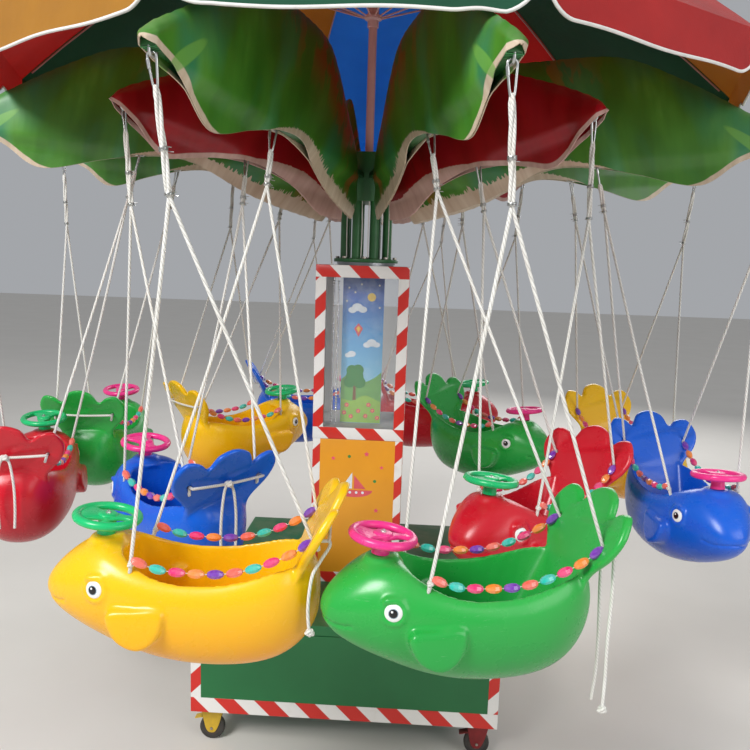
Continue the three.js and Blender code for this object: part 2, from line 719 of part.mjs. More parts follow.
// A carabiner hangs on the hook bar, which passes through it, and points down the rope
function carabiner(hook, below, turn) {
  const { length, width, wire, neck, shoulder } = CARABINER;
  const top = HOOK_BAR / 2 + CARABINER_PLAY;
  const loop = (halfWidth, high, low) => [
    [-halfWidth * neck, high], [-halfWidth, high - halfWidth * shoulder], [-halfWidth * neck, low],
    [halfWidth * neck, low], [halfWidth, high - halfWidth * shoulder], [halfWidth * neck, high],
  ].map(([x, z]) => new THREE.Vector2(x, z));
  const outerShape = new THREE.Shape(loop(width / 2, top + wire, top + wire - length));
  outerShape.holes.push(new THREE.Path(loop(width / 2 - wire, top, top + 2 * wire - length)));
  const up = new THREE.Vector3(...hook).sub(new THREE.Vector3(...below)).normalize();
  const barWay = new THREE.Vector3(-Math.sin(turn), Math.cos(turn), 0);
  const across = barWay.clone().cross(up).normalize();
  const pose = new THREE.Matrix4().makeBasis(across, up.clone().cross(across), up);
  return new THREE.ExtrudeGeometry(outerShape, { depth: wire, bevelEnabled: false })
    .rotateX(Math.PI / 2)
    .translate(0, wire / 2, 0)
    .applyMatrix4(pose)
    .translate(...hook);
}

function ropeSolid(entry) {
  return join([tailRope(entry), ...hangerPieces(entry, 1), ...hangerPieces(entry, -1)]);
}

function looseRope({ name, route }) {
  const path = new THREE.CatmullRomCurve3(route.map((point) => new THREE.Vector3(...point)));
  const section = new THREE.Shape();
  section.absarc(0, 0, TAIL_CORD_RADIUS, 0, Math.PI * 2);
  const body = new THREE.ExtrudeGeometry(section, {
    steps: Math.round(path.getLength() / TAIL_CORD_STEP),
    curveSegments: TAIL_CORD_SIDES / 2,
    extrudePath: path,
  });
  return named(name, body, material('rope', 0.9));
}

function seat(entry, number) {
  const { arm } = entry;
  const group = new THREE.Group();
  group.position.set(arm.seatRadius, -entry.ahead, SEAT_BOTTOM);
  group.rotation.z = radians(-90 + entry.turn);
  const wheelColour = entry.seat === 'green' || entry.seat === 'blue' ? 'pink' : 'green';
  group.add(
    named(`seat_${number}_shell`, skin(seatShellSolid()), material(entry.seat, 0.35)),
    named(`seat_${number}_wheel`, skin(wheelSolid()), material(wheelColour, 0.35)),
    named(`seat_${number}_ropes`, skin(ropeSolid(entry)), material('rope', 0.9)),
  );
  return group;
}

function crown() {
  const group = new THREE.Group();
  group.add(crownFrame(), umbrellaFrame(), canopy());
  ARMS.forEach((entry, index) => {
    const number = String(index + 1).padStart(2, '0');
    const branch = new THREE.Group();
    const hanging = seat(entry, number);
    TAIL_CORDS.filter(({ seatIndex }) => seatIndex === index).forEach((cord) => {
      hanging.add(looseRope(cord));
    });
    branch.rotation.z = armAngle(index);
    branch.add(leaf(`leaf_${number}`, entry.arm), hanging);
    group.add(branch);
  });
  return group;
}

const ride = new THREE.Group();
ride.add(
  underframe(), cabinet(), columnHousing(), windowFrame(), drivePost(), displayBoard(), crown(),
);

export default ride;
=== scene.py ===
# %% [markdown]
# A chair swing ride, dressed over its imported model. A cabinet on casters carries a square column with a
# window, and on the column turns a crown of twelve arms. Each arm lies under a painted palm leaf, and a
# dolphin seat hangs below it on ropes. A beach umbrella covers the whole ride.
# Everything here is in metres and in the frame of the model: +Z up, the origin on the ground under the
# middle of the cabinet, and the front towards -Y.

# %% Load the model
import math

import bmesh
import bpy
from mathutils import Matrix, Vector


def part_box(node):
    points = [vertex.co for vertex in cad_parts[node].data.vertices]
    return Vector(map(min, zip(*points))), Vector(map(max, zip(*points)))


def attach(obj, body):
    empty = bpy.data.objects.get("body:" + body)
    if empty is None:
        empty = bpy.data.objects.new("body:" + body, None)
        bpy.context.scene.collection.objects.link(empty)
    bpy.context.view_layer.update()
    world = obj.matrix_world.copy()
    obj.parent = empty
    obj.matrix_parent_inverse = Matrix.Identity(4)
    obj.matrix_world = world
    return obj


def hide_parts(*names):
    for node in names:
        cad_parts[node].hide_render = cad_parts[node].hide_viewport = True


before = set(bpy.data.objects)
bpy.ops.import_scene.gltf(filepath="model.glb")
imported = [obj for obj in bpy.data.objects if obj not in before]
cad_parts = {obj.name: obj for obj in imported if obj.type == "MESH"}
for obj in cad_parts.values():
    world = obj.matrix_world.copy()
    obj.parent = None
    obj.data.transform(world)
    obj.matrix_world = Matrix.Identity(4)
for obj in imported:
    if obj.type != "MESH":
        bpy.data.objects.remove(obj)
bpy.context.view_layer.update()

# %% [markdown]
# ## Camera
# The photographer stood about three metres from the ride, a head above the seats, looking a little down
# and to the left. A phone lens gives about the view of a 36 mm lens on a full frame, and the phone was
# held slightly turned, so the camera is built from a place, a heading, a dip and a roll.

# %% Camera
CAMERA_PLACE = (0.194, -3.127, 1.824)
CAMERA_HEADING = 2.58
CAMERA_DIP = 8.42
CAMERA_ROLL = 1.88
CAMERA_LENS = 35.9


def turn(degrees, axis):
    return Matrix.Rotation(math.radians(degrees), 4, axis)


bpy.ops.object.camera_add(location=CAMERA_PLACE)
camera = bpy.context.object
camera.name = "camera"
camera.data.lens = CAMERA_LENS
camera.matrix_world = (
    Matrix.Translation(CAMERA_PLACE)
    @ turn(CAMERA_HEADING, "Z")
    @ turn(90 - CAMERA_DIP, "X")
    @ turn(CAMERA_ROLL, "Z")
)
bpy.context.scene.camera = camera

# %% [markdown]
# ## The ride's plan
# The arms stand every thirty degrees, counter-clockwise from the front left. Two long arms with a green
# leaf are followed by a short one with a red leaf. The two seats of a pair hang staggered, so that the
# leading one has its nose out, and the single seats hang nearer to the column. Each kind of arm is one
# entry here, and every later piece reads its places from it.

# %% Arms and seats
SEAT_BOTTOM = 0.752
# Each hook's distance from the axis and its height, and how far out the seat and the arm's tip lie
LONG_ARM = {"outer": (1.500, 2.255), "inner": (0.893, 2.205), "seat": 1.306, "tip": 1.514}
SHORT_ARM = {"outer": (1.030, 2.277), "inner": (0.579, 2.181), "seat": 0.876, "tip": 1.044}
KINDS = {
    "leader": {"arm": LONG_ARM, "turn": 20, "ahead": 0.040},
    "follower": {"arm": LONG_ARM, "turn": 0, "ahead": -0.006},
    "single": {"arm": SHORT_ARM, "turn": 0, "ahead": 0.0},
}
COLOURS = ("yellow", "green", "red", "blue")
FIRST_ARM = -15
ARM_PITCH = 30
ARM_COUNT = 12


def arm_entry(index):
    kind = ("leader", "follower", "single")[index % 3]
    return {
        "number": f"{index + 1:02d}",
        "kind": kind,
        "colour": COLOURS[index % 4],
        "angle": FIRST_ARM + ARM_PITCH * index - 90,
        **KINDS[kind],
    }


ARMS = [arm_entry(index) for index in range(ARM_COUNT)]
print("arms:", [(arm["number"], arm["kind"], arm["colour"]) for arm in ARMS])

# %% [markdown]
# ## Small tools
# These helpers keep the modelling steps short. Each one does what a hand does in the window: select one
# piece, select its points or faces by their place, apply a modifier, or join pieces. A new piece's place
# goes into its mesh at once, so that its object stays at the origin and patterns don't slide.

# %% Selecting and naming
def only(piece):
    bpy.ops.object.select_all(action="DESELECT")
    piece.select_set(True)
    bpy.context.view_layer.objects.active = piece
    return piece


def settled(piece):
    only(piece)
    bpy.ops.object.transform_apply(location=True, rotation=True, scale=True)
    return piece


def named(piece, name):
    piece.name = name
    piece.data.name = name
    return piece


def added(name):
    return settled(named(bpy.context.object, name))


def mark(piece, kind, test):
    """Selects the edges or faces that the test accepts. It gets their middle, and a face's normal."""
    cage = bmesh.from_edit_mesh(piece.data)
    bpy.ops.mesh.select_mode(type=kind)
    bpy.ops.mesh.select_all(action="DESELECT")
    if kind == "EDGE":
        chosen = [edge for edge in cage.edges if test((edge.verts[0].co + edge.verts[1].co) / 2, None)]
    else:
        chosen = [face for face in cage.faces if test(face.calc_center_median(), face.normal)]
    for item in chosen:
        item.select = True
    cage.select_flush_mode()
    bmesh.update_edit_mesh(piece.data)


def edit(piece):
    only(piece)
    bpy.ops.object.mode_set(mode="EDIT")


def finish_edit():
    bpy.ops.object.mode_set(mode="OBJECT")


# %% Steps in edit mode
def pick_points(piece, numbers):
    """Selects the points with these numbers, and returns the mesh in edit mode."""
    cage = bmesh.from_edit_mesh(piece.data)
    cage.verts.ensure_lookup_table()
    bpy.ops.mesh.select_all(action="DESELECT")
    for number in numbers:
        cage.verts[number].select = True
    cage.select_flush(True)
    return cage


def move_points(piece, places):
    """Moves the points with these numbers to new places, one by one."""
    for number, place in places.items():
        cage = pick_points(piece, [number])
        bpy.ops.transform.translate(value=Vector(place) - cage.verts[number].co)


def extrude(step):
    bpy.ops.mesh.extrude_region_move(TRANSFORM_OT_translate={"value": step})


def slice_at(place, normal):
    """Cuts new edges into the mesh where a plane goes through it."""
    bpy.ops.mesh.select_all(action="SELECT")
    bpy.ops.mesh.bisect(plane_co=place, plane_no=normal)


def close_up():
    """Turns all faces outwards and leaves edit mode."""
    bpy.ops.mesh.select_all(action="SELECT")
    bpy.ops.mesh.normals_make_consistent(inside=False)
    finish_edit()


# %% Modifiers, joining and copying
def modify(piece, kind, **settings):
    only(piece)
    modifier = piece.modifiers.new(kind.title(), kind)
    for key, value in settings.items():
        setattr(modifier, key, value)
    bpy.ops.object.modifier_apply(modifier=modifier.name)
    return piece


def rounded(piece, width, segments=3, angle=30):
    return modify(piece, "BEVEL", width=width, segments=segments, limit_method="ANGLE",
                  angle_limit=math.radians(angle))


def smooth(piece, angle=40):
    only(piece)
    bpy.ops.object.shade_smooth_by_angle(angle=math.radians(angle))
    return piece


def joined(name, pieces):
    bpy.ops.object.select_all(action="DESELECT")
    for piece in pieces:
        piece.select_set(True)
    bpy.context.view_layer.objects.active = pieces[0]
    if len(pieces) > 1:
        bpy.ops.object.join()
    return named(bpy.context.object, name)


def cut(piece, tool):
    modify(piece, "BOOLEAN", operation="DIFFERENCE", object=tool, solver="EXACT")
    bpy.data.objects.remove(tool)
    return piece


def copied(piece, name):
    only(piece)
    bpy.ops.object.duplicate(linked=False)
    return named(bpy.context.object, name)


def removed(*pieces):
    for piece in pieces:
        bpy.data.objects.remove(piece)


# %% Plain bodies to start from
def turned(piece, matrix):
    """Turns and moves a piece for good, in its mesh."""
    piece.matrix_world = matrix
    return settled(piece)


def upright(piece, y, x=0, z=0):
    """Stands a flat piece up: what was above its plane comes to lie in front of this Y."""
    return turned(piece, Matrix.Translation((x, y, z)) @ turn(90, "X"))


def box(name, low, high):
    low, high = Vector(low), Vector(high)
    bpy.ops.mesh.primitive_cube_add(size=1, location=(low + high) / 2, scale=high - low)
    return added(name)


def rod(name, start, end, radius, sides=16, end_radius=None):
    start, end = Vector(start), Vector(end)
    way = end - start
    bpy.ops.mesh.primitive_cone_add(
        vertices=sides,
        radius1=radius,
        radius2=radius if end_radius is None else end_radius,
        depth=way.length,
        location=(start + end) / 2,
        rotation=way.to_track_quat("Z", "Y").to_euler(),
    )
    return added(name)


def ring(name, place, radius, tube, axis=(0, 0, 1), steps=32, sides=10):
    bpy.ops.mesh.primitive_torus_add(
        major_radius=radius,
        minor_radius=tube,
        major_segments=steps,
        minor_segments=sides,
        location=place,
        rotation=Vector(axis).to_track_quat("Z", "Y").to_euler(),
    )
    return added(name)


def ball(name, scale, segments, rings, place=(0, 0, 0)):
    bpy.ops.mesh.primitive_uv_sphere_add(segments=segments, ring_count=rings, radius=1, location=place,
                                         scale=scale)
    return added(name)


# %% Outlines, plates and cords
def clamped(value):
    return min(1.0, max(0.0, value))


def length_of(route):
    return sum((b - a).length for a, b in zip(route, route[1:]))


def mirrored(points, axis=0):
    """The other half of a symmetric outline: the points backwards, on the other side."""
    flipped = []
    for point in reversed(points):
        flipped.append(tuple(-value if k == axis else value for k, value in enumerate(point)))
    return flipped


def through(points, steps, closed=False):
    """Points of a smooth curve through the given ones: a Catmull-Rom spline, with these steps in each
    stretch."""
    points = [Vector(point) for point in points]
    count = len(points)
    made = []
    for i in range(count if closed else count - 1):
        if closed:
            a, b, c, d = (points[(i + k) % count] for k in (-1, 0, 1, 2))
        else:
            a, b, c, d = (points[min(max(i + k, 0), count - 1)] for k in (-1, 0, 1, 2))
        for step in range(steps):
            t = step / steps
            made.append(0.5 * (2 * b + (c - a) * t + (2 * a - 5 * b + 4 * c - d) * t ** 2
                               + (3 * b - a - 3 * c + d) * t ** 3))
    return made if closed else made + [points[-1]]


def slab(name, outline, thickness):
    """A plate in the XY plane with this outline, counter-clockwise, from height 0 to its thickness."""
    bpy.ops.mesh.primitive_circle_add(vertices=len(outline), radius=1, fill_type="NGON")
    piece = added(name)
    edit(piece)
    move_points(piece, {i: (point[0], point[1], 0) for i, point in enumerate(outline)})
    bpy.ops.mesh.select_all(action="SELECT")
    extrude((0, 0, thickness))
    close_up()
    return piece


def tube(name, route, radius, resolution=2, closed=False):
    """A round cord along a route. Its map runs along the cord in metres and once around it."""
    route = [Vector(point) for point in route]
    curve = bpy.data.curves.new(name, "CURVE")
    curve.dimensions = "3D"
    curve.bevel_depth = radius
    curve.bevel_resolution = resolution
    curve.use_fill_caps = not closed
    spline = curve.splines.new("POLY")
    spline.points.add(len(route) - 1)
    spline.use_cyclic_u = closed
    for point, place in zip(spline.points, route):
        point.co = (*place, 1)
    piece = bpy.data.objects.new(name, curve)
    bpy.context.scene.collection.objects.link(piece)
    only(piece)
    bpy.ops.object.convert(target="MESH")
    piece = bpy.context.object
    length = length_of(route)
    for corner in piece.data.uv_layers[0].data:
        corner.uv.x *= length
    return smooth(piece, 50)


# %% [markdown]
# ## Finishes
# A real surface is never one flat colour. Four effects are shared by most finishes here, and each is a
# small group of shader nodes with its own inputs: a slow mottle that shifts the colour, a fine grain that
# gives height for a bump, dust that settles on what faces up, and slanting stripes for the warning tape.
# The helpers below add one node each. A socket knows its node tree, so they need no other word of it.

# %% One node at a time
def feed(socket, value):
    """Gives a socket a number, a colour, or what another node puts out."""
    if isinstance(value, (int, float, tuple)):
        socket.default_value = value
    else:
        socket.id_data.links.new(value, socket)


def fed(tree, kind, **values):
    node = tree.nodes.new(kind)
    for label, value in values.items():
        feed(node.inputs[label.replace("_", " ")], value)
    return node


def math_node(operation, *values):
    tree = next(value.id_data for value in values if not isinstance(value, (int, float)))
    node = tree.nodes.new("ShaderNodeMath")
    node.operation = operation
    for socket, value in zip(node.inputs, values):
        feed(socket, value)
    return node.outputs[0]


def times(first, second):
    return math_node("MULTIPLY", first, second)


def mix_colour(share, first, second):
    node = share.id_data.nodes.new("ShaderNodeMix")
    node.data_type = "RGBA"
    for number, value in ((0, share), (6, first), (7, second)):
        feed(node.inputs[number], value)
    return node.outputs[2]


def span(value, low, high, to_low=0.0, to_high=1.0):
    """Turns the range from low to high into another one, and stops at its ends."""
    return fed(value.id_data, "ShaderNodeMapRange", Value=value, From_Min=low, From_Max=high, To_Min=to_low,
               To_Max=to_high).outputs[0]


def noise(where, scale, detail=3.0, roughness=0.5):
    return fed(where.id_data, "ShaderNodeTexNoise", Vector=where, Scale=scale, Detail=detail,
               Roughness=roughness).outputs["Fac"]


def stretched(where, scale, rotation=(0.0, 0.0, 0.0)):
    return fed(where.id_data, "ShaderNodeMapping", Vector=where, Scale=scale, Rotation=rotation).outputs[0]


def axes(where):
    return fed(where.id_data, "ShaderNodeSeparateXYZ", Vector=where).outputs


# %% Groups of nodes
GROUPS = {}


def new_group(name, results, **inputs):
    """A node group that reads a vector and these inputs, each with its own value."""
    group = bpy.data.node_groups.new(name, "ShaderNodeTree")
    group.interface.new_socket(name="Vector", in_out="INPUT", socket_type="NodeSocketVector")
    for label, value in inputs.items():
        kind = "NodeSocketColor" if isinstance(value, tuple) else "NodeSocketFloat"
        group.interface.new_socket(name=label, in_out="INPUT", socket_type=kind).default_value = value
    for label in results:
        kind = "NodeSocketColor" if label == "Colour" else "NodeSocketFloat"
        group.interface.new_socket(name=label, in_out="OUTPUT", socket_type=kind)
    GROUPS[name] = group
    return group.nodes.new("NodeGroupInput").outputs, group.nodes.new("NodeGroupOutput").inputs


# %% Mottle and grain
given, result = new_group("mottle", ("Colour", "Mask"), Scale=6.0, Colour=(0.5, 0.5, 0.5, 1),
                          Second=(0.4, 0.4, 0.4, 1), Amount=0.5)
soft = noise(given["Vector"], given["Scale"], 4.0, 0.6)
mask = times(span(soft, 0.32, 0.7), given["Amount"])
feed(result["Colour"], mix_colour(mask, given["Colour"], given["Second"]))
feed(result["Mask"], soft)

given, result = new_group("grain", ("Height",), Scale=300.0, Ripple=14.0, Share=0.5)
fine = noise(given["Vector"], given["Scale"], 2.0)
broad = noise(given["Vector"], given["Ripple"], 2.0)
feed(result["Height"], math_node("MULTIPLY_ADD", fine, given["Share"], broad))

# %% Dust and stripes
given, result = new_group("dust", ("Colour", "Mask"), Colour=(0.5, 0.5, 0.5, 1), Dust=(0.42, 0.37, 0.29, 1),
                          Amount=0.2)
facing = GROUPS["dust"].nodes.new("ShaderNodeNewGeometry")
up = span(axes(facing.outputs["Normal"])["Z"], 0.2, 1.0)
patches = span(noise(given["Vector"], 9.0, 6.0, 0.7), 0.4, 0.75)
mask = times(times(up, patches), given["Amount"])
feed(result["Colour"], mix_colour(mask, given["Colour"], given["Dust"]))
feed(result["Mask"], mask)

given, result = new_group("stripes", ("Mask",), Pitch=0.156, Lean=1.0, Shift=0.0)
x, y, _ = axes(given["Vector"])
place = math_node("MULTIPLY_ADD", y, given["Lean"], math_node("ADD", x, given["Shift"]))
turns = math_node("FRACT", math_node("DIVIDE", place, given["Pitch"]))
feed(result["Mask"], span(math_node("PINGPONG", turns, 0.5), 0.24, 0.26))
print("node groups:", sorted(GROUPS))

# %% [markdown]
# A material starts with its Principled shader and a vector to read patterns from. Most read the object's
# own coordinates, which are the ride's coordinates here, and cords read the map along their length.

# %% Materials from the groups
MATERIALS = {}


def new_material(name):
    """Returns the shader, and the vector that the patterns read."""
    material = bpy.data.materials.new(name)
    material.use_nodes = True
    MATERIALS[name] = material
    tree = material.node_tree
    return tree.nodes["Principled BSDF"], tree.nodes.new("ShaderNodeTexCoord").outputs["Object"]


def use_group(name, where, **values):
    node = where.id_data.nodes.new("ShaderNodeGroup")
    node.node_tree = GROUPS[name]
    for label, value in {"Vector": where, **values}.items():
        feed(node.inputs[label], value)
    return node.outputs


def set_shader(shader, **values):
    for label, value in values.items():
        feed(shader.inputs[label.replace("_", " ")], value)


def add_bump(shader, height, strength, distance):
    node = fed(shader.id_data, "ShaderNodeBump", Strength=strength, Distance=distance, Height=height)
    set_shader(shader, Normal=node.outputs["Normal"])


def shade(colour, factor):
    return tuple(min(channel * factor, 1.0) for channel in colour[:3]) + (1.0,)


def surface(name, colour, second=None, amount=0.5, scale=5.0, dust=0.15, roughness=0.4,
            grain=(300.0, 14.0, 0.5), bump=(0.15, 0.0006), metallic=0.0, coat=0.0):
    """The common finish: mottled colour, dust on top, uneven gloss and a fine bump."""
    shader, where = new_material(name)
    mottle = use_group("mottle", where, Scale=scale, Colour=(*colour, 1.0),
                       Second=(*second, 1.0) if second else shade(colour, 0.72), Amount=amount)
    dusty = use_group("dust", where, Colour=mottle["Colour"], Amount=dust)
    gloss = span(mottle["Mask"], 0.3, 0.7, roughness * 0.85, roughness * 1.2)
    rough = math_node("MULTIPLY_ADD", dusty["Mask"], 0.4, gloss)
    set_shader(shader, Base_Color=dusty["Colour"], Roughness=rough, Metallic=metallic, Coat_Weight=coat,
               Coat_Roughness=0.12)
    fine = use_group("grain", where, Scale=grain[0], Ripple=grain[1], Share=grain[2])
    add_bump(shader, fine["Height"], *bump)


def painted(piece, *names):
    """Gives a piece these finishes. Its faces keep their numbers."""
    numbers = [face.material_index for face in piece.data.polygons]
    piece.data.materials.clear()
    for name in names:
        piece.data.materials.append(MATERIALS[name])
    piece.data.polygons.foreach_set("material_index", numbers)
    return piece


def colour_faces(piece, rule):
    """Gives each face one of the piece's materials, by the place of its middle."""
    for face in piece.data.polygons:
        face.material_index = rule(face.center)


# %% [markdown]
# ## The dolphin tub
# The seat is one blow-moulded shell: a round hull with a pointed nose, a deep tub, a raised tail fan that
# is also the back rest, and two side fins. It could be sculpted, but its form is given by cross-sections,
# so one ring of points is extruded from the nose to the tail and each ring is set to its section. A
# subdivision surface then makes the hull round. The seat is modelled once in its own frame, +X forward
# and +Y to the outside of the ride, and is copied to its twelve places at the end.

# %% Hull sections
# Distance forward, keel, deck, half-width, and the flat share of the deck
HULL = (
    (0.362, 0.196, 0.228, 0.030, 0.50),
    (0.333, 0.148, 0.274, 0.068, 0.50),
    (0.262, 0.103, 0.331, 0.112, 0.50),
    (0.190, 0.069, 0.351, 0.142, 0.62),
    (0.119, 0.039, 0.312, 0.157, 0.82),
    (0.020, 0.011, 0.285, 0.167, 0.86),
    (-0.090, 0.001, 0.281, 0.168, 0.87),
    (-0.190, 0.003, 0.301, 0.162, 0.86),
    (-0.265, 0.023, 0.326, 0.142, 0.84),
    (-0.318, 0.066, 0.320, 0.109, 0.80),
    (-0.346, 0.115, 0.280, 0.075, 0.70),
    (-0.358, 0.158, 0.238, 0.046, 0.60),
)
HULL_SIDE = ((0.54, 0.05), (0.92, 0.30), (1.0, 0.72))
FAN_FRONT = (-0.346, 0.383)
FAN_LEAN = 0.53
FAN_THICKNESS = 0.026
FAN_EDGE = 0.009
HOLE_SIDE = 0.124
FRONT_HOLE = (0.112, 0.309)
HULL_LEVELS = 3


def hull_section(forward, low, high, half, deck):
    side = [(half * across, low + (high - low) * up) for across, up in HULL_SIDE]
    side.append((half * deck, high))
    outline = [(0.0, low), *side, (0.0, high), *mirrored(side)]
    return [Vector((forward, across, up)) for across, up in outline]


def extruded_rings(name, rings):
    """Extrudes one ring of points through all the rings, and closes both ends. An extruded ring's points
    are numbered on, in the same order."""
    count = len(rings[0])
    bpy.ops.mesh.primitive_circle_add(vertices=count, radius=0.05, fill_type="NOTHING")
    piece = added(name)
    edit(piece)
    move_points(piece, dict(enumerate(rings[0])))
    for number, places in enumerate(rings[1:], 1):
        first = number * count
        pick_points(piece, range(first - count, first))
        extrude(places[0] - rings[number - 1][0])
        move_points(piece, dict(enumerate(places, first)))
    for first in (0, (len(rings) - 1) * count):
        pick_points(piece, range(first, first + count))
        bpy.ops.mesh.edge_face_add()
    close_up()
    return piece


hull = extruded_rings("hull", [hull_section(*station) for station in HULL])
modify(hull, "SUBSURF", levels=HULL_LEVELS, render_levels=HULL_LEVELS)
print("hull:", len(hull.data.polygons), "faces")

# %% [markdown]
# The tub is cut out with a shape of its own: its outline at the floor is narrower than at the rim, its
# rear wall leans with the back rest, and its floor edge is rounded with a bevel, as moulds have draft.

# %% Tub
TUB_OUTLINE = ((1, 0.054), (0.93, 0.098), (0.72, 0.130), (0.3, 0.130), (0.06, 0.104), (0, 0.066))
TUB_FLOOR = 0.072
TUB_TOP = 0.50
TUB_RIM = 0.28
TUB_FRONT = 0.148
TUB_FRONT_LEAN = 0.06
TUB_BEHIND = 0.002
TUB_LEVELS = (TUB_FLOOR, 0.17, TUB_RIM, TUB_TOP)
TUB_DRAFT = 0.7
TUB_BEVEL = 0.03


def fan_front(height):
    """How far forward the front face of the tail fan, which is also the back rest, lies at a height."""
    return FAN_FRONT[0] - (height - FAN_FRONT[1]) * FAN_LEAN


def tub_ring(height):
    outline = [(share, side, 0) for share, side in (*TUB_OUTLINE, *mirrored(TUB_OUTLINE, 1))]
    outline = through(outline, 3, closed=True)
    rear = fan_front(height) + TUB_BEHIND
    front = TUB_FRONT + (height - TUB_RIM) * TUB_FRONT_LEAN
    narrowing = 1 - TUB_DRAFT * max(0, TUB_RIM - height)
    return [Vector((rear + point.x * (front - rear), point.y * narrowing, height)) for point in outline]


tub_tool = extruded_rings("tub_tool", [tub_ring(height) for height in TUB_LEVELS])
edit(tub_tool)
mark(tub_tool, "EDGE", lambda middle, _: middle.z < TUB_FLOOR + 0.0001)
bpy.ops.mesh.bevel(offset=TUB_BEVEL, segments=4)
finish_edit()
cut(hull, tub_tool)
print("hull with its tub:", len(hull.data.polygons), "faces")

# %% [markdown]
# The fan has two wide lobes and a narrower one between them. Its outline is a smooth curve through a few
# points, extruded to its thickness and leaned back. Each side lobe curls a little forward, which a hand
# would do with proportional editing, and here a transform on the lobe's points does it. The side fins
# are plates of the same kind, and they flare out towards their lower edge.

# %% Tail fan and fins
FAN_HALF = (
    (0.098, 0.235), (0.116, 0.300), (0.168, 0.362), (0.183, 0.418), (0.154, 0.466), (0.110, 0.462),
    (0.078, 0.440), (0.052, 0.480),
)
FAN_TOP = (0.0, 0.498)
FAN_CURL = 0.016
FAN_CURL_START = 0.07
FAN_CURL_RUN = 0.10
FIN_OUTLINE = ((0.168, 0.200), (0.098, 0.210), (0.026, 0.206), (0.036, 0.140), (0.086, 0.106), (0.146, 0.134))
FIN_EDGE = 0.016
FIN_FLARE = 0.012
FIN_FLARE_BAND = (0.200, 0.110)
FIN_INNER = 0.110
FIN_OUTER = 0.170
HOLE_RADIUS = 0.0075

fan_outline = [*FAN_HALF, FAN_TOP, *mirrored(FAN_HALF)]
fan = slab("fan", through([(side, height, 0) for side, height in fan_outline], 5, closed=True), FAN_THICKNESS)
for corner in fan.data.vertices:
    side, height, deep = corner.co
    curl = FAN_CURL * max(0.0, abs(side) - FAN_CURL_START) / FAN_CURL_RUN
    corner.co = (fan_front(height) - FAN_THICKNESS + deep + curl, side, height)
rounded(fan, FAN_EDGE, 3, 50)
for side in (-1, 1):
    start = (FAN_FRONT[0] + 0.06, side * HOLE_SIDE, FAN_FRONT[1])
    end = (FAN_FRONT[0] - 0.08, side * HOLE_SIDE, FAN_FRONT[1])
    cut(fan, rod("hole_tool", start, end, HOLE_RADIUS, 20))

fins = []
for side in (-1, 1):
    fin = slab("fin", through([(*point, 0) for point in FIN_OUTLINE], 4, closed=True), FIN_OUTER - FIN_INNER)
    upright(fin, FIN_OUTER if side > 0 else -FIN_INNER)
    for corner in fin.data.vertices:
        share = (FIN_FLARE_BAND[0] - corner.co.z) / (FIN_FLARE_BAND[0] - FIN_FLARE_BAND[1])
        corner.co.y += side * FIN_FLARE * max(0.0, share)
    rounded(fin, FIN_EDGE, 4, 50)
    fins.append(fin)
print("fan and fins:", len(fan.data.polygons), len(fins[0].data.polygons), "faces")

# %% [markdown]
# The eye sits in a shallow ring with a brow above it, and the wheel stands on a low collar on the hump.
# These swell out of the hull, so they are joined to it. One voxel remesh then melts all parts into a
# single skin, which gives the soft fillets of blow moulding, and a light smoothing takes the steps out.
# The mouth is a groove: a thin tube along it is cut out, and a second remesh softens the groove's edges.

# %% Eye rings, collar and one skin
EYE_PLACE = (0.207, 0.14, 0.248)
EYE_RING = (0.030, 0.0055)
BROW = (0.036, 0.010, 0.010)
BROW_STEP = (-0.006, 0.034)
COLLAR_FOOT = (0.205, 0.0, 0.315)
COLLAR_TOP = (0.205, 0.0, 0.3475)
COLLAR_RADII = (0.062, 0.040)
MOUTH = ((0.300, 0.095, 0.192), (0.325, 0.074, 0.186), (0.347, 0.046, 0.190), (0.357, 0.020, 0.196))
MOUTH_DEPTH = 0.0058
SKIN_VOXEL = 0.0042
SKIN_KEPT = 0.36


def on_hull(place):
    """The nearest point on the hull, and the way out of the hull there."""
    return hull.closest_point_on_mesh(Vector(place))[1:3]


eye_spots = []
swellings = []
for side in (-1, 1):
    spot, normal = on_hull((EYE_PLACE[0], side * EYE_PLACE[1], EYE_PLACE[2]))
    eye_spots.append((spot, normal))
    swellings.append(ring("eye_ring", spot, *EYE_RING, axis=normal, steps=28, sides=8))
    above = (EYE_PLACE[0] + BROW_STEP[0], side * EYE_PLACE[1], EYE_PLACE[2] + BROW_STEP[1])
    swellings.append(ball("brow", BROW, 20, 12, on_hull(above)[0]))
swellings.append(rod("collar", COLLAR_FOOT, COLLAR_TOP, COLLAR_RADII[0], 32, end_radius=COLLAR_RADII[1]))
print("eyes at", [tuple(round(value, 3) for value in spot) for spot, normal in eye_spots])

mouth_half = [on_hull(place)[0] for place in through(MOUTH, 4)]
mouth_tool = tube("mouth_tool", [*mouth_half, *mirrored(mouth_half, 1)], MOUTH_DEPTH, 3)

shell = joined("shell_master", [hull, fan, *fins, *swellings])
for rounds in (6, 3):
    modify(shell, "REMESH", mode="VOXEL", voxel_size=SKIN_VOXEL, use_smooth_shade=True)
    modify(shell, "SMOOTH", factor=0.5, iterations=rounds)
    if rounds == 6:
        cut(shell, mouth_tool)
modify(shell, "DECIMATE", ratio=SKIN_KEPT)
smooth(shell, 60)
print("seat shell:", len(shell.data.polygons), "faces")
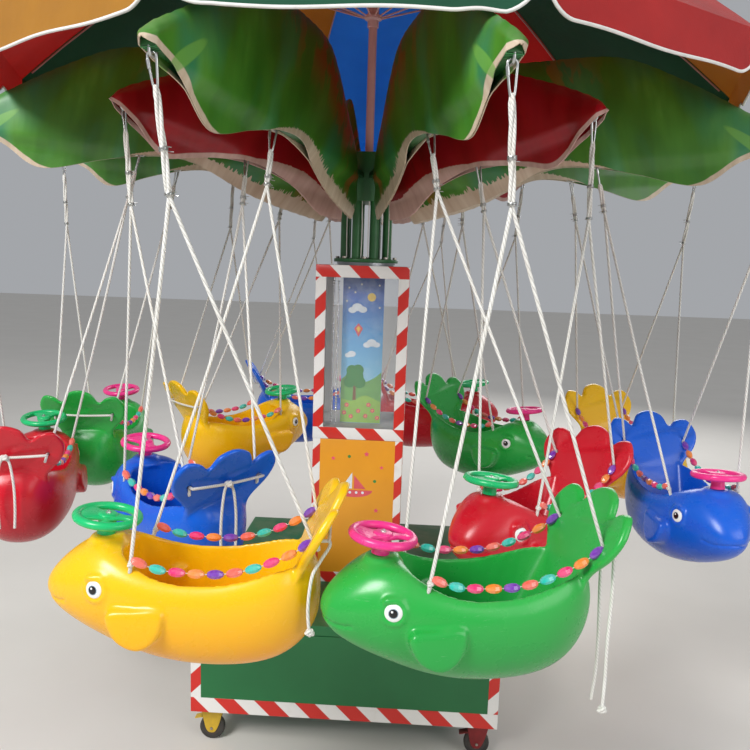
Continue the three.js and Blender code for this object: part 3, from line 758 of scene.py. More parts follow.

# %% [markdown]
# The plastic is coloured all through and glossy, with the slight ripple of a blow moulding. Rain marks and
# fine scratches show on top. Below that, the colour darkens towards the belly: painted shade for the
# underside that the light misses.

# %% Plastic
# Each colour has its top and a darker belly; the belly colour is painted shade.
SEAT_COLOURS = {
    "yellow": ((0.96, 0.56, 0.004), (0.88, 0.33, 0.002)),
    "green": ((0.020, 0.42, 0.060), (0.012, 0.27, 0.050)),
    "red": ((0.64, 0.008, 0.024), (0.40, 0.004, 0.016)),
    "blue": ((0.002, 0.12, 0.70), (0.003, 0.05, 0.42)),
}
SHADED_BELLY_BAND = (SEAT_BOTTOM + 0.03, SEAT_BOTTOM + 0.26)
WHEEL_COLOURS = {"green": (0.008, 0.54, 0.17), "pink": (0.90, 0.035, 0.27)}

given, result = new_group("scratches", ("Mask",), Scale=26.0)
drawn_out = stretched(given["Vector"], (1.0, 1.0, 9.0), (0.4, 0.5, 0.3))
feed(result["Mask"], span(noise(drawn_out, given["Scale"], 5.0, 0.75), 0.62, 0.72))


def plastic(name, top, shaded_belly):
    shader, where = new_material(name)
    # Painted shade: the colour goes from the top colour to the darker belly colour over the lower hull.
    height = span(axes(where)["Z"], *SHADED_BELLY_BAND)
    body = mix_colour(height, (*shaded_belly, 1.0), (*top, 1.0))
    mottle = use_group("mottle", where, Scale=7.0, Colour=body, Second=shade(top, 0.86), Amount=0.35)
    dusty = use_group("dust", where, Colour=mottle["Colour"], Amount=0.10)
    scratches = use_group("scratches", where)["Mask"]
    worn = mix_colour(times(scratches, 0.10), dusty["Colour"], (0.85, 0.83, 0.78, 1.0))
    gloss = span(mottle["Mask"], 0.3, 0.7, 0.20, 0.34)
    rough = math_node("MULTIPLY_ADD", scratches, 0.22, gloss)
    set_shader(shader, Base_Color=worn, Roughness=math_node("MULTIPLY_ADD", dusty["Mask"], 0.8, rough),
               Subsurface_Weight=0.08, Subsurface_Radius=(0.02, 0.012, 0.008))
    add_bump(shader, use_group("grain", where, Scale=420.0, Ripple=11.0, Share=0.16)["Height"], 0.22, 0.002)


for colour, (top, shaded_belly) in SEAT_COLOURS.items():
    plastic(f"plastic_{colour}", top, shaded_belly)
for colour, tint in WHEEL_COLOURS.items():
    plastic(f"wheel_{colour}", tint, tint)

# %% [markdown]
# ## Seats at their places
# Each seat's frame stands on its arm at the seat's radius, and the leading seats are turned out. Copies of
# the finished shell get their own mesh and are put there for good.

# %% Placing
def arm_matrix(arm):
    return turn(arm["angle"], "Z")


def seat_matrix(arm):
    place = Matrix.Translation((arm["arm"]["seat"], -arm["ahead"], SEAT_BOTTOM))
    return arm_matrix(arm) @ place @ turn(-90 + arm["turn"], "Z")


def seat_piece(master, arm, part, *materials):
    piece = copied(master, f"{part}_{arm['number']}_look")
    turned(piece, seat_matrix(arm))
    painted(piece, *materials)
    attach(piece, f"seat_{arm['number']}")
    return piece


for arm in ARMS:
    piece = seat_piece(shell, arm, "shell", f"plastic_{arm['colour']}")
    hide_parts(f"seat_{arm['number']}_shell")
removed(shell)

# %% [markdown]
# ## Eyes
# Each eye is a shallow printed dome that is stuck into its moulded ring: white, with a grey-blue line and a
# black pupil, and a small white dot on it as a painted highlight. A flattened sphere gives the dome, and its
# faces are coloured by their distance from the middle.

# %% Eyes
EYE_RADIUS = 0.0225
EYE_DOME = 0.0065
PUPIL = 0.0105
PUPIL_LINE = 0.0130
EYE_PROUD = 0.0015
GLINT = (0.0032, 0.0032, 0.0012)
GLINT_PLACE = (-0.003, 0.004, EYE_DOME - 0.0006)

surface("eye_white", (0.86, 0.87, 0.86), amount=0.15, roughness=0.25, dust=0.05, bump=(0.05, 0.0003))
surface("eye_black", (0.008, 0.008, 0.010), amount=0.2, roughness=0.18, dust=0.03, bump=(0.05, 0.0003))
surface("eye_grey", (0.28, 0.36, 0.42), amount=0.2, roughness=0.25, dust=0.03, bump=(0.05, 0.0003))


def pointed(way):
    """Turns +Z this way."""
    return way.to_track_quat("Z", "Y").to_matrix().to_4x4()


def eye(spot, normal):
    dome = ball("eye", (EYE_RADIUS, EYE_RADIUS, EYE_DOME), 32, 32)
    painted(dome, "eye_white", "eye_black", "eye_grey")

    def by_distance(centre):
        distance = math.hypot(centre.x, centre.y)
        if distance < PUPIL:
            return 1
        return 2 if distance < PUPIL_LINE else 0

    colour_faces(dome, by_distance)
    # The glint is a painted highlight: a small white dome on the pupil.
    glint = painted(ball("glint", GLINT, 12, 8, GLINT_PLACE), "eye_white")
    whole = joined("eye", [dome, glint])
    return smooth(turned(whole, Matrix.Translation(spot + normal * EYE_PROUD) @ pointed(normal)), 60)


eyes = joined("eyes_master", [eye(spot, normal) for spot, normal in eye_spots])
for arm in ARMS:
    seat_piece(eyes, arm, "eyes", "eye_white", "eye_black", "eye_grey")
removed(eyes)

# %% [markdown]
# ## Steering wheel
# The wheel is a moulded ring on a stem. A spine runs across it: narrow on the child's side, wider at the
# hub, and wide where it meets the ring towards the nose. A screw with a washer holds it. The spine is a
# plate with a smooth outline and bevelled edges, and the hub is turned as a short stepped cylinder.

# %% Wheel
WHEEL_CENTRE = Vector((0.205, 0, 0.394))
WHEEL_RADIUS = 0.078
WHEEL_TUBE = 0.0115
WHEEL_TILT = 7
SPINE_HALF = (
    (-0.078, 0.017), (-0.045, 0.012), (-0.018, 0.022), (0.010, 0.026), (0.035, 0.036), (0.070, 0.060))
SPINE_THICKNESS = 0.011
SPINE_EDGE = 0.004
HUB_LEVELS = ((-0.0465, 0.024), (-0.030, 0.022), (-0.008, 0.024), (0.006, 0.026), (0.010, 0.021))
WASHER_LEVELS = ((0.009, 0.0075), (0.0112, 0.00705))
SCREW_LEVELS = ((0.0112, 0.0045), (0.015, 0.0045), (0.0162, 0.0032))

surface("screw_zinc", (0.72, 0.72, 0.70), amount=0.4, roughness=0.28, metallic=1.0, dust=0.08,
        bump=(0.1, 0.0003))


def cylinder_stack(name, levels, sides=28):
    """A turned body through pairs of height and radius, made by extruding and scaling a disc."""
    foot, radius = levels[0]
    bpy.ops.mesh.primitive_circle_add(vertices=sides, radius=radius, fill_type="NGON", location=(0, 0, foot))
    piece = added(name)
    edit(piece)
    bpy.ops.mesh.select_all(action="SELECT")
    for (low, before), (high, after) in zip(levels, levels[1:]):
        extrude((0, 0, high - low))
        bpy.ops.transform.resize(value=(after / before, after / before, 1), center_override=(0, 0, high))
    close_up()
    return piece


spine_outline = [(forward, side, 0) for forward, side in (*SPINE_HALF, *mirrored(SPINE_HALF, 1))]
spine_points = through(spine_outline, 4, closed=True)
spine = slab("spine", list(reversed(spine_points)), SPINE_THICKNESS)
rounded(turned(spine, Matrix.Translation((0, 0, -SPINE_THICKNESS / 2))), SPINE_EDGE, 3, 50)
hub = rounded(cylinder_stack("hub", HUB_LEVELS), 0.0015, 2, 30)
rim = ring("rim", (0, 0, 0), WHEEL_RADIUS, WHEEL_TUBE, steps=48, sides=14)
wheel = smooth(joined("wheel_master", [rim, spine, hub]), 40)
washer = cylinder_stack("washer", WASHER_LEVELS)
head = cylinder_stack("head", SCREW_LEVELS, 6)
screw = smooth(joined("screw_master", [washer, head]), 30)
tilted = Matrix.Translation(WHEEL_CENTRE) @ turn(-WHEEL_TILT, "Y")
for piece in (wheel, screw):
    turned(piece, tilted)
for arm in ARMS:
    tint = "pink" if arm["colour"] in ("green", "blue") else "green"
    piece = seat_piece(wheel, arm, "wheel", f"wheel_{tint}")
    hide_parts(f"seat_{arm['number']}_wheel")
    seat_piece(screw, arm, "screw", "screw_zinc")
removed(wheel, screw)

# %% [markdown]
# ## Beads
# A string of oval beads runs along both rims of every tub, from the front rope to the fan. There are ten
# on each string, in five candy colours, and each bead is faceted, so it keeps flat shading. A bead is a
# sphere with few faces, stretched along the string.

# %% Bead strings
BEAD_ROUTE = ((0.112, 0.330), (0.070, 0.309), (0.010, 0.296), (-0.100, 0.291), (-0.180, 0.304),
              (-0.250, 0.330), (-0.300, 0.356), (-0.339, 0.386))
BEAD_SIDE = 0.127
BEADS = 10
BEAD_LENGTH = 0.0445
BEAD_WIDTH = 0.0250
BEAD_TINTS = {
    "coral": (0.88, 0.13, 0.085),
    "aqua": (0.0, 0.52, 0.42),
    "magenta": (0.82, 0.008, 0.16),
    "orange": (0.92, 0.24, 0.012),
    "violet": (0.17, 0.012, 0.42),
}
BEAD_PALENESS = 0.28
STRING_RADIUS = 0.0012

for tint, value in BEAD_TINTS.items():
    pale = tuple(BEAD_PALENESS + (1 - BEAD_PALENESS) * channel for channel in value)
    surface(f"bead_{tint}", value, second=pale, amount=0.45, scale=52.0, roughness=0.14, dust=0.04,
            bump=(0.3, 0.0006), grain=(500.0, 90.0, 0.3), coat=0.6)
surface("string", (0.75, 0.72, 0.66), amount=0.5, scale=80.0, roughness=0.8, bump=(0.4, 0.0004))


def places_along(route, distances):
    """Points and directions at these distances along a route."""
    found = []
    for distance in distances:
        left = distance
        for a, b in zip(route, route[1:]):
            step = (b - a).length
            if left <= step or b is route[-1]:
                found.append((a.lerp(b, min(left / step, 1.0)), (b - a).normalized()))
                break
            left -= step
    return found


def bead_string(side):
    route = through([(forward, side * BEAD_SIDE, height) for forward, height in BEAD_ROUTE], 4)
    pitch = length_of(route) / BEADS
    pieces = []
    for number, (place, way) in enumerate(places_along(route, [pitch * (k + 0.5) for k in range(BEADS)])):
        bead = ball("bead", (BEAD_WIDTH / 2, BEAD_WIDTH / 2, BEAD_LENGTH / 2), 8, 6)
        turned(bead, Matrix.Translation(place) @ pointed(way))
        pieces.append(painted(bead, f"bead_{list(BEAD_TINTS)[number % len(BEAD_TINTS)]}"))
    pieces.append(painted(tube("string", route, STRING_RADIUS, 1), "string"))
    return pieces


beads = joined("beads_master", bead_string(1) + bead_string(-1))
bead_finishes = [slot.material.name for slot in beads.material_slots]
for arm in ARMS:
    seat_piece(beads, arm, "beads", *bead_finishes)
removed(beads)
print("bead finishes:", bead_finishes)

# %% [markdown]
# ## Ropes
# Each seat hangs on two hooks. From each hook a carabiner holds a bundle of ropes, which a twist of wire
# keeps together, and below it one rope runs to the front hole and one to the tail hole. The tail rope
# passes through the fan and crosses behind it. The ropes are laid cord, so they are round tubes whose
# finish winds around them, read from the map along the cord.

# %% Rope finish
ROPE_TWIST = 0.011
ROPE_STRANDS = 3

shader, where = new_material("rope_white")
worn_white = (0.66, 0.63, 0.56)
mottle = use_group("mottle", where, Scale=18.0, Colour=(0.84, 0.83, 0.79, 1.0), Second=(*worn_white, 1.0),
                   Amount=0.6)
along, around, _ = axes(where.node.outputs["UV"])
lay = math_node("ADD", math_node("DIVIDE", along, ROPE_TWIST), times(around, ROPE_STRANDS))
# Painted shade: the grooves between the strands are darkened towards a dim worn white.
groove = span(math_node("PINGPONG", math_node("FRACT", lay), 0.5), 0.0, 0.22)
shadow = math_node("MULTIPLY_ADD", groove, -0.45, 0.45)
set_shader(shader, Base_Color=mix_colour(shadow, mottle["Colour"], shade(worn_white, 0.45)), Roughness=0.85,
           Sheen_Weight=0.3)
fibres = noise(where, 900.0, 2.0)
add_bump(shader, math_node("MULTIPLY_ADD", fibres, 0.25, groove), 0.7, 0.0016)
surface("zinc", (0.62, 0.63, 0.62), second=(0.42, 0.43, 0.42), amount=0.7, scale=40.0, roughness=0.32,
        metallic=1.0, dust=0.12, bump=(0.2, 0.0004))
surface("wrap_green", (0.05, 0.30, 0.08), second=(0.02, 0.14, 0.05), amount=0.7, scale=50.0, roughness=0.5,
        bump=(0.5, 0.001), grain=(220.0, 60.0, 0.4))

# %% Rope places in a seat's frame
ROPE_RADIUS = 0.0047
ROPE_BEHIND = 0.0074
BUNDLE_AIM = 0.45
BUNDLE_TOP = 0.060


def in_seat(kind, radius, height):
    """Where a place of the arm's frame lies in the seat's frame."""
    facts = KINDS[kind]
    angle = math.radians(facts["turn"])
    outward = radius - facts["arm"]["seat"]
    behind = -facts["ahead"]
    return Vector((
        math.cos(angle) * behind + math.sin(angle) * outward,
        math.cos(angle) * outward - math.sin(angle) * behind,
        height - SEAT_BOTTOM,
    ))


def front_hole(side):
    return Vector((FRONT_HOLE[0], side * HOLE_SIDE, FRONT_HOLE[1]))


def tail_hole(side):
    return Vector((FAN_FRONT[0] + ROPE_RADIUS, side * HOLE_SIDE, FAN_FRONT[1]))


# %% Carabiner and wire
HOOK_BAR = 0.004
LOOP_PLAY = 0.0015
LOOP_LENGTH = 0.076
LOOP_HALF = 0.0145
LOOP_WIRE = 0.0032
WIRE_RADIUS = 0.0011
WIRE_PITCH = 0.0026


def carabiner(hook, down, bar_way):
    """A pear-shaped snap hook of round wire that hangs on the bar and points down the rope."""
    across = bar_way.cross(-down).normalized()
    top = HOOK_BAR + LOOP_PLAY + LOOP_WIRE
    bottom = top - LOOP_LENGTH
    half = LOOP_HALF - LOOP_WIRE
    outline = ((0, top), (half * 0.75, top - half * 0.25), (half, top - half),
               (half * 0.8, top - LOOP_LENGTH / 2), (half * 0.45, bottom + half * 0.45), (0, bottom))
    route = [hook + across * side - down * height for side, height in (*outline, *mirrored(outline[1:-1]))]
    body = tube("snap", through(route, 4, closed=True), LOOP_WIRE, 3, closed=True)
    gate_start = hook + across * half - down * (top - half * 1.2)
    gate_end = hook + across * half * 0.86 - down * (top - LOOP_LENGTH * 0.45)
    gate = rod("gate", gate_start, gate_end, LOOP_WIRE * 1.45, 12)
    return [painted(body, "zinc"), painted(rounded(gate, 0.001, 2), "zinc")]


def wire_turns(centre, way, radius, turns):
    """A few turns of wire around a bundle, with both ends standing off."""
    side = way.orthogonal().normalized()
    other = way.cross(side)
    height = way * WIRE_PITCH * turns
    route = [centre + side * radius * 2.1 - height * 0.4]
    for step in range(10 * turns + 1):
        angle = 2 * math.pi * step / 10
        lift = way * (WIRE_PITCH * (step / 10 - turns / 2))
        route.append(centre + (side * math.cos(angle) + other * math.sin(angle)) * radius + lift)
    route.append(centre + side * radius * 1.9 + height * 0.7 + other * radius)
    return painted(tube("wire", route, WIRE_RADIUS, 1), "zinc")


# %% Bundle and knot
BUNDLE_STEPS = 12
BUNDLE_TWIST = 0.34
KNOT_STEPS = 20


def bundle(top, split, down):
    """Three ropes side by side with a slow twist, from the carabiner to where they part."""
    side = down.orthogonal().normalized()
    other = down.cross(side)
    length = (split - top).length
    pieces = []
    for strand in range(ROPE_STRANDS):
        route = []
        for step in range(BUNDLE_STEPS + 1):
            share = step / BUNDLE_STEPS
            angle = 2 * math.pi * (strand / ROPE_STRANDS + share * length / BUNDLE_TWIST)
            spread = ROPE_RADIUS * 1.02 * min(1.0, 0.35 + share * 8)
            route.append(top.lerp(split, share) + (side * math.cos(angle) + other * math.sin(angle)) * spread)
        pieces.append(painted(tube("strand", route, ROPE_RADIUS * 0.92, 2), "rope_white"))
    return pieces


def knot(place, size):
    """A stopper knot: two tight turns of the rope around itself."""
    route = []
    for step in range(KNOT_STEPS + 1):
        share = step / KNOT_STEPS
        angle = 4 * math.pi * share
        reach = size * (0.62 + 0.18 * math.sin(2.5 * angle))
        route.append(place + Vector((math.cos(angle) * reach, math.sin(angle) * reach, size * (share - 0.5))))
    return painted(tube("knot", route, size * 0.55, 2), "rope_white")


# %% One set of ropes for each kind of seat
# Which hook serves which side, how far below it the ropes part, and where the upper wire holds them
ROPE_ENDS = ({"side": 1, "hook": "outer", "split": 0.294, "clip": 0.193},
             {"side": -1, "hook": "inner", "split": 0.164, "clip": 0.138})
FRONT_KNOT = 0.0075


def raised(place, height):
    return place + Vector((0, 0, height))


def rope_set(kind):
    facts = KINDS[kind]
    angle = math.radians(-facts["turn"])
    bar_way = Vector((-math.sin(angle), math.cos(angle), 0))
    pieces = []
    splits = []
    for end in ROPE_ENDS:
        hook = in_seat(kind, *facts["arm"][end["hook"]])
        front = front_hole(end["side"])
        down = (front.lerp(tail_hole(end["side"]), BUNDLE_AIM) - hook).normalized()
        per_drop = down / abs(down.z)
        split = hook + per_drop * end["split"]
        pieces += carabiner(hook, down, bar_way)
        pieces += bundle(hook + per_drop * BUNDLE_TOP, split, down)
        pieces.append(wire_turns(hook + per_drop * end["clip"], down, ROPE_RADIUS * 2.15, 4))
        pieces.append(wire_turns(split - down * 0.004, down, ROPE_RADIUS * 2.1, 3))
        front_route = through([split, raised(split.lerp(front, 0.5), -0.004), raised(front, 0.012),
                               raised(front, 0.002)], 5)
        pieces.append(painted(tube("front_rope", front_route, ROPE_RADIUS, 2), "rope_white"))
        pieces.append(knot(raised(front, 0.005), FRONT_KNOT))
        splits.append(split)
    behind = FAN_FRONT[0] - FAN_THICKNESS - ROPE_BEHIND
    far, near = (Vector((behind, side * HOLE_SIDE, FAN_FRONT[1])) for side in (1, -1))
    entry = Vector((0.004, 0, 0.003))
    tail_route = [
        splits[0],
        raised(splits[0].lerp(tail_hole(1), 0.5), -0.005),
        tail_hole(1) + entry,
        tail_hole(1).lerp(far, 0.3),
        tail_hole(1).lerp(far, 0.85),
        far - Vector((0, 0.010, 0)),
        raised(far.lerp(near, 0.5), -0.004),
        near + Vector((0, 0.010, 0)),
        near.lerp(tail_hole(-1), 0.15),
        near.lerp(tail_hole(-1), 0.7),
        tail_hole(-1) + entry,
        raised(splits[1].lerp(tail_hole(-1), 0.5), -0.005),
        splits[1],
    ]
    pieces.append(painted(tube("tail_rope", through(tail_route, 4), ROPE_RADIUS, 2), "rope_white"))
    return joined(f"ropes_{kind}", pieces)


rope_masters = {kind: rope_set(kind) for kind in KINDS}
for arm in ARMS:
    master = rope_masters[arm["kind"]]
    names = [slot.material.name for slot in master.material_slots]
    piece = seat_piece(master, arm, "ropes", *names)
    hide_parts(f"seat_{arm['number']}_ropes")
print("rope set:", {kind: len(master.data.polygons) for kind, master in rope_masters.items()}, "faces")
removed(*rope_masters.values())

# %% [markdown]
# ## Loose rope ends
# Behind two of the seats the tail rope's ends were left long. They hang limp from the crossing rope, and
# their lengths are what the photograph shows of them. Each is a tube on a smooth route. Two more seats
# have a short tie knotted over the crossing rope, with two legs that hang against the hull.

# %% Loose rope ends
LOOSE_RADIUS = 0.0045
LOOSE_TOP = 0.3778
LOOSE_ENDS = (
    ("rope_end_yellow", 0, "knot",
     ((-0.3814, 0.112, LOOSE_TOP), (-0.380, 0.113, 0.362), (-0.358, 0.118, 0.326), (-0.338, 0.122, 0.284),
      (-0.330, 0.126, 0.200), (-0.336, 0.125, 0.128))),
    ("rope_end_green_plain", 1, "bare",
     ((-0.3814, 0.044, LOOSE_TOP), (-0.384, 0.046, 0.250), (-0.388, 0.050, 0.120), (-0.392, 0.046, 0.010),
      (-0.388, 0.040, -0.088))),
    ("rope_end_green_knotted", 1, "knot",
     ((-0.3814, 0.104, LOOSE_TOP), (-0.386, 0.106, 0.250), (-0.380, 0.112, 0.130), (-0.384, 0.108, 0.010),
      (-0.380, 0.112, -0.084))),
)
TIE_PLACE = Vector((-0.3850, 0.006, 0.3800))
TIES = (("red_near", 10, 1), ("red_far", 10, -1), ("blue_near", 11, 1), ("blue_far", 11, -1))
END_KNOT = 0.0105
TIE_KNOT = 0.0125


def tie_route(side):
    """One leg of a tie: out of the knot, then down along the back of the hull."""
    return [TIE_PLACE + Vector(step) for step in (
        (0.0, side * 0.010, -0.008), (-0.002, side * 0.018, -0.030), (-0.001, side * 0.026, -0.100),
        (0.001, side * 0.027, -0.180), (-0.001, side * 0.024, -0.250))]


def loose_end(name, arm, far_end, points, node=None):
    matrix = seat_matrix(arm)
    route = [matrix @ point for point in through(points, 6)]
    cord = painted(tube(f"{name}_look", route, LOOSE_RADIUS, 3), "rope_white")
    if far_end == "knot":
        tie = knot(raised(route[-1], LOOSE_RADIUS * 2.4), END_KNOT)
        tie.name = f"{name}_knot"
        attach(tie, f"seat_{arm['number']}")
    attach(cord, f"seat_{arm['number']}")
    if node:
        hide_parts(node)
    print(name, round(length_of(route), 3), "m")


for name, index, far_end, points in LOOSE_ENDS:
    loose_end(name, ARMS[index], far_end, points, name)
for name, index, side in TIES:
    loose_end(f"tie_{name}", ARMS[index], "bare", tie_route(side))
for index in (10, 11):
    bow = knot(seat_matrix(ARMS[index]) @ TIE_PLACE, TIE_KNOT)
    bow.name = f"tie_knot_{ARMS[index]['number']}"
    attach(bow, f"seat_{ARMS[index]['number']}")

# %% [markdown]
# ## Palm leaves
# Every arm is covered by a folded leaf: a thin painted shell that runs over the arm and hangs down on both
# sides. Its back rises steeply from the trunk, runs level and drops to a point at the arm's tip, and its
# hem sweeps up and down. The two halves are drawn together under the arm, except round its hooks, and
# beyond its tip. A flat grid is bent to that form, row by row, because the two long edges are smooth
# curves, and it gets its wall thickness at the end. The paint follows the edges, so each point also keeps
# how far it lies along the leaf, from the hem and from the back.

# %% Leaf outlines
LEAF_LONG = {
    "back": ((0.132, 2.085), (0.170, 2.260), (0.265, 2.385), (0.360, 2.500), (0.470, 2.575), (0.700, 2.594),
             (0.950, 2.592), (1.170, 2.505), (1.370, 2.398), (1.500, 2.328), (1.545, 2.284)),
    "hem": ((0.200, 1.990), (0.460, 2.070), (0.700, 2.192), (0.870, 2.206), (1.040, 2.178), (1.250, 2.140),
            (1.380, 2.222), (1.545, 2.284)),
}
LEAF_SHORT = {
    "back": ((0.132, 2.085), (0.170, 2.240), (0.250, 2.350), (0.360, 2.450), (0.470, 2.490), (0.650, 2.480),
             (0.820, 2.430), (0.960, 2.378), (1.040, 2.340), (1.078, 2.304)),
    "hem": ((0.140, 1.995), (0.250, 2.010), (0.380, 2.105), (0.550, 2.165), (0.690, 2.170), (0.800, 2.158),
            (0.900, 2.150), (0.985, 2.225), (1.078, 2.304)),
}

# %% Leaf sizes
LEAF_HALF = 0.0225
LEAF_WALL = 0.0025
LEAF_ROWS = 96
LEAF_COLUMNS = 44
FOLD_DEPTH = 0.006
FOLD_WAVES = 21
NICK_DEPTH = 0.008
NICK_PITCH = 0.041
NICK_AT_TIP = 0.35
ROOT_PART = 2.2
PINCH_START = 0.008
PINCH_RUN = 0.036
PINCH = 0.84
HOOK_ROOM = 0.034
HOOK_RUN = 0.050
TIP_PINCH = 0.86
TIP_START = 0.007
TIP_RUN = 0.018
HOOK_DROP = 0.017


def hook_line(arm, radius):
    """The height of the straight line through an arm's two hooks. The arm lies HOOK_DROP above it."""
    (near, low), (far, high) = arm["inner"], arm["outer"]
    return low + (radius - near) * (high - low) / (far - near)


def resampled(points, count):
    """Evenly spaced places along the smooth curve through the given points."""
    curve = through([(radius, 0, height) for radius, height in points], 8)
    ways = [0.0]
    for a, b in zip(curve, curve[1:]):
        ways.append(ways[-1] + (b - a).length)
    places = []
    index = 0
    for number in range(count):
        way = ways[-1] * number / (count - 1)
        while index < len(ways) - 2 and ways[index + 1] < way:
            index += 1
        share = (way - ways[index]) / (ways[index + 1] - ways[index])
        places.append(curve[index].lerp(curve[index + 1], share))
    return places


def pinched(arm, place):
    """How far apart the two halves stay: they draw together under the arm and beyond its tip, but not
    round a hook."""
    under = hook_line(arm, place.x) + HOOK_DROP - PINCH_START - place.z
    beyond = place.x - arm["tip"] - TIP_START
    aside = min(abs(place.x - arm[end][0]) for end in ("inner", "outer")) - HOOK_ROOM
    closing = PINCH * clamped(under / PINCH_RUN) * clamped(aside / HOOK_RUN)
    return (1 - closing) * (1 - TIP_PINCH * clamped(beyond / TIP_RUN))


def leaf_shell(name, leaf, arm):
    bpy.ops.mesh.primitive_grid_add(x_subdivisions=LEAF_ROWS, y_subdivisions=LEAF_COLUMNS, size=2)
    piece = added(name)
    back = resampled(leaf["back"], LEAF_ROWS + 1)
    hem = resampled(leaf["hem"], LEAF_ROWS + 1)
    length = length_of(hem)
    place_on_leaf = piece.data.attributes.new("leaf_place", "FLOAT_VECTOR", "POINT")
    for point in piece.data.vertices:
        row = round((point.co.x + 1) / 2 * LEAF_ROWS)
        side = point.co.y
        up = 1 - abs(side)
        along = row / LEAF_ROWS * length
        high = (back[row] - hem[row]).length
        nick = abs((along / NICK_PITCH) % 1 - 0.5) * 2
        root_share = max(0.0, 1 - row / LEAF_ROWS * ROOT_PART)
        place = hem[row].lerp(back[row], up ** 0.86)
        place.z -= NICK_DEPTH * nick * up ** 6 * (NICK_AT_TIP + root_share)
        place.z += NICK_DEPTH * 0.5 * nick * root_share * (1 - up) ** 8
        bulge = 1 - up ** 7
        phase = along * FOLD_WAVES + 2.2 * up + (1.3 if side > 0 else 0.0)
        fold = FOLD_DEPTH * (0.5 + 0.5 * math.sin(phase)) * math.sin(math.pi * min(1.0, up * 1.4))
        half = (LEAF_HALF + fold) * bulge * pinched(arm, place)
        place_on_leaf.data[point.index].vector = (along, high * up, high * (1 - up))
        point.co = (place.x, math.copysign(half, side) if side else 0.0, place.z)
    modify(piece, "SOLIDIFY", thickness=LEAF_WALL, offset=-1, use_even_offset=False)
    edit(piece)
    bpy.ops.mesh.select_all(action="SELECT")
    bpy.ops.mesh.remove_doubles(threshold=0.0002)
    finish_edit()
    print(name, len(piece.data.polygons), "faces, hem", round(length, 3), "m")
    return smooth(piece, 60)


# %% [markdown]
# The paint has a deep ground with broad soft strokes from the back to the hem, rusty brown patches near the
# back, and a cream margin. The lightest strokes are a painted sheen. The margin is a thin line near the tip
# and widens towards the trunk, where brush strokes feather its upper edge. The long green leaves also have a
# painted highlight near the tip, a pale oval.

# %% Leaf paint
def leaf_paint(name, ground, deep, light, rust, cool, margin, tip_margin, oval=None):
    shader, where = new_material(name)
    given = shader.id_data.nodes.new("ShaderNodeAttribute")
    given.attribute_name = "leaf_place"
    on_leaf = given.outputs["Vector"]
    along, from_hem, from_back = axes(on_leaf)

    def streaks(scale, detail, roughness, length):
        """Noise that is drawn out from the back to the hem."""
        return noise(stretched(on_leaf, (1.0, length, 0.0)), scale, detail, roughness)

    fine = streaks(38.0, 2.0, 0.5, 0.14)
    broad = streaks(7.0, 3.0, 0.5, 0.35)
    tone = mix_colour(span(broad, 0.36, 0.62), (*deep, 1.0), (*ground, 1.0))
    # The light colour is a painted sheen, laid on the lightest broad strokes.
    tone = mix_colour(times(span(broad, 0.58, 0.80), 0.7), tone, (*light, 1.0))
    tone = mix_colour(span(fine, 0.42, 0.75, 0.0, 0.35), tone, (*deep, 1.0))
    tone = mix_colour(span(streaks(4.5, 2.0, 0.5, 0.4), 0.50, 0.64, 0.0, 0.7), tone, (*cool, 1.0))
    near_root = times(span(from_back, 0.26, 0.12), span(along, 0.85, 0.50))
    spots = span(streaks(12.0, 3.0, 0.6, 0.25), 0.50, 0.525)
    tone = mix_colour(times(times(near_root, spots), rust[3]), tone, (*rust[:3], 1.0))

    strokes = streaks(70.0, 2.0, 0.7, 0.03)
    root_share = span(along, margin["start"], margin["full"])
    feather = times(span(strokes, 0.46, 0.72, 0.0, margin["feather"]), root_share)
    tip = span(along, tip_margin["start"], tip_margin["full"], 0.0, tip_margin["width"])
    edge = math_node("MAXIMUM", math_node("MULTIPLY_ADD", root_share, margin["width"], feather), tip)
    cream = mix_colour(span(fine, 0.3, 0.7), (*margin["colour"], 1.0), (*margin["second"], 1.0))
    tone = mix_colour(span(math_node("SUBTRACT", edge, from_hem), -0.0008, 0.0012), tone, cream)
    # The oval is a painted highlight near the tip, in the light colour.
    if oval:
        reach_x = math_node("DIVIDE", math_node("SUBTRACT", along, oval[0]), oval[1])
        reach_y = math_node("DIVIDE", math_node("SUBTRACT", from_back, oval[2]), oval[3])
        squares = math_node("ADD", times(reach_x, reach_x), times(reach_y, reach_y))
        tone = mix_colour(span(squares, 1.15, 0.75, 0.0, 0.75), tone, (*light, 1.0))
    dusty = use_group("dust", where, Colour=tone, Amount=0.3)
    rough = math_node("MULTIPLY_ADD", dusty["Mask"], 0.4, span(broad, 0.3, 0.7, 0.30, 0.46))
    set_shader(shader, Base_Color=dusty["Colour"], Roughness=rough)
    add_bump(shader, math_node("MULTIPLY_ADD", strokes, 0.3, broad), 0.3, 0.002)


leaf_paint(
    "leaf_green", (0.070, 0.255, 0.022), (0.038, 0.155, 0.013), (0.155, 0.390, 0.065),
    rust=(0.36, 0.095, 0.016, 0.95), cool=(0.028, 0.205, 0.110),
    margin={"start": 0.80, "full": 0.20, "width": 0.046, "feather": 0.030, "colour": (0.52, 0.40, 0.28),
            "second": (0.66, 0.55, 0.42)},
    tip_margin={"start": 1.06, "full": 1.14, "width": 0.013}, oval=(1.28, 0.085, 0.115, 0.022))
leaf_paint(
    "leaf_red", (0.42, 0.002, 0.010), (0.25, 0.001, 0.006), (0.54, 0.006, 0.018),
    rust=(0.10, 0.008, 0.006, 0.4), cool=(0.34, 0.002, 0.014),
    margin={"start": 0.52, "full": 0.14, "width": 0.070, "feather": 0.006, "colour": (0.56, 0.33, 0.29),
            "second": (0.68, 0.45, 0.40)},
    tip_margin={"start": 0.30, "full": 0.36, "width": 0.011})

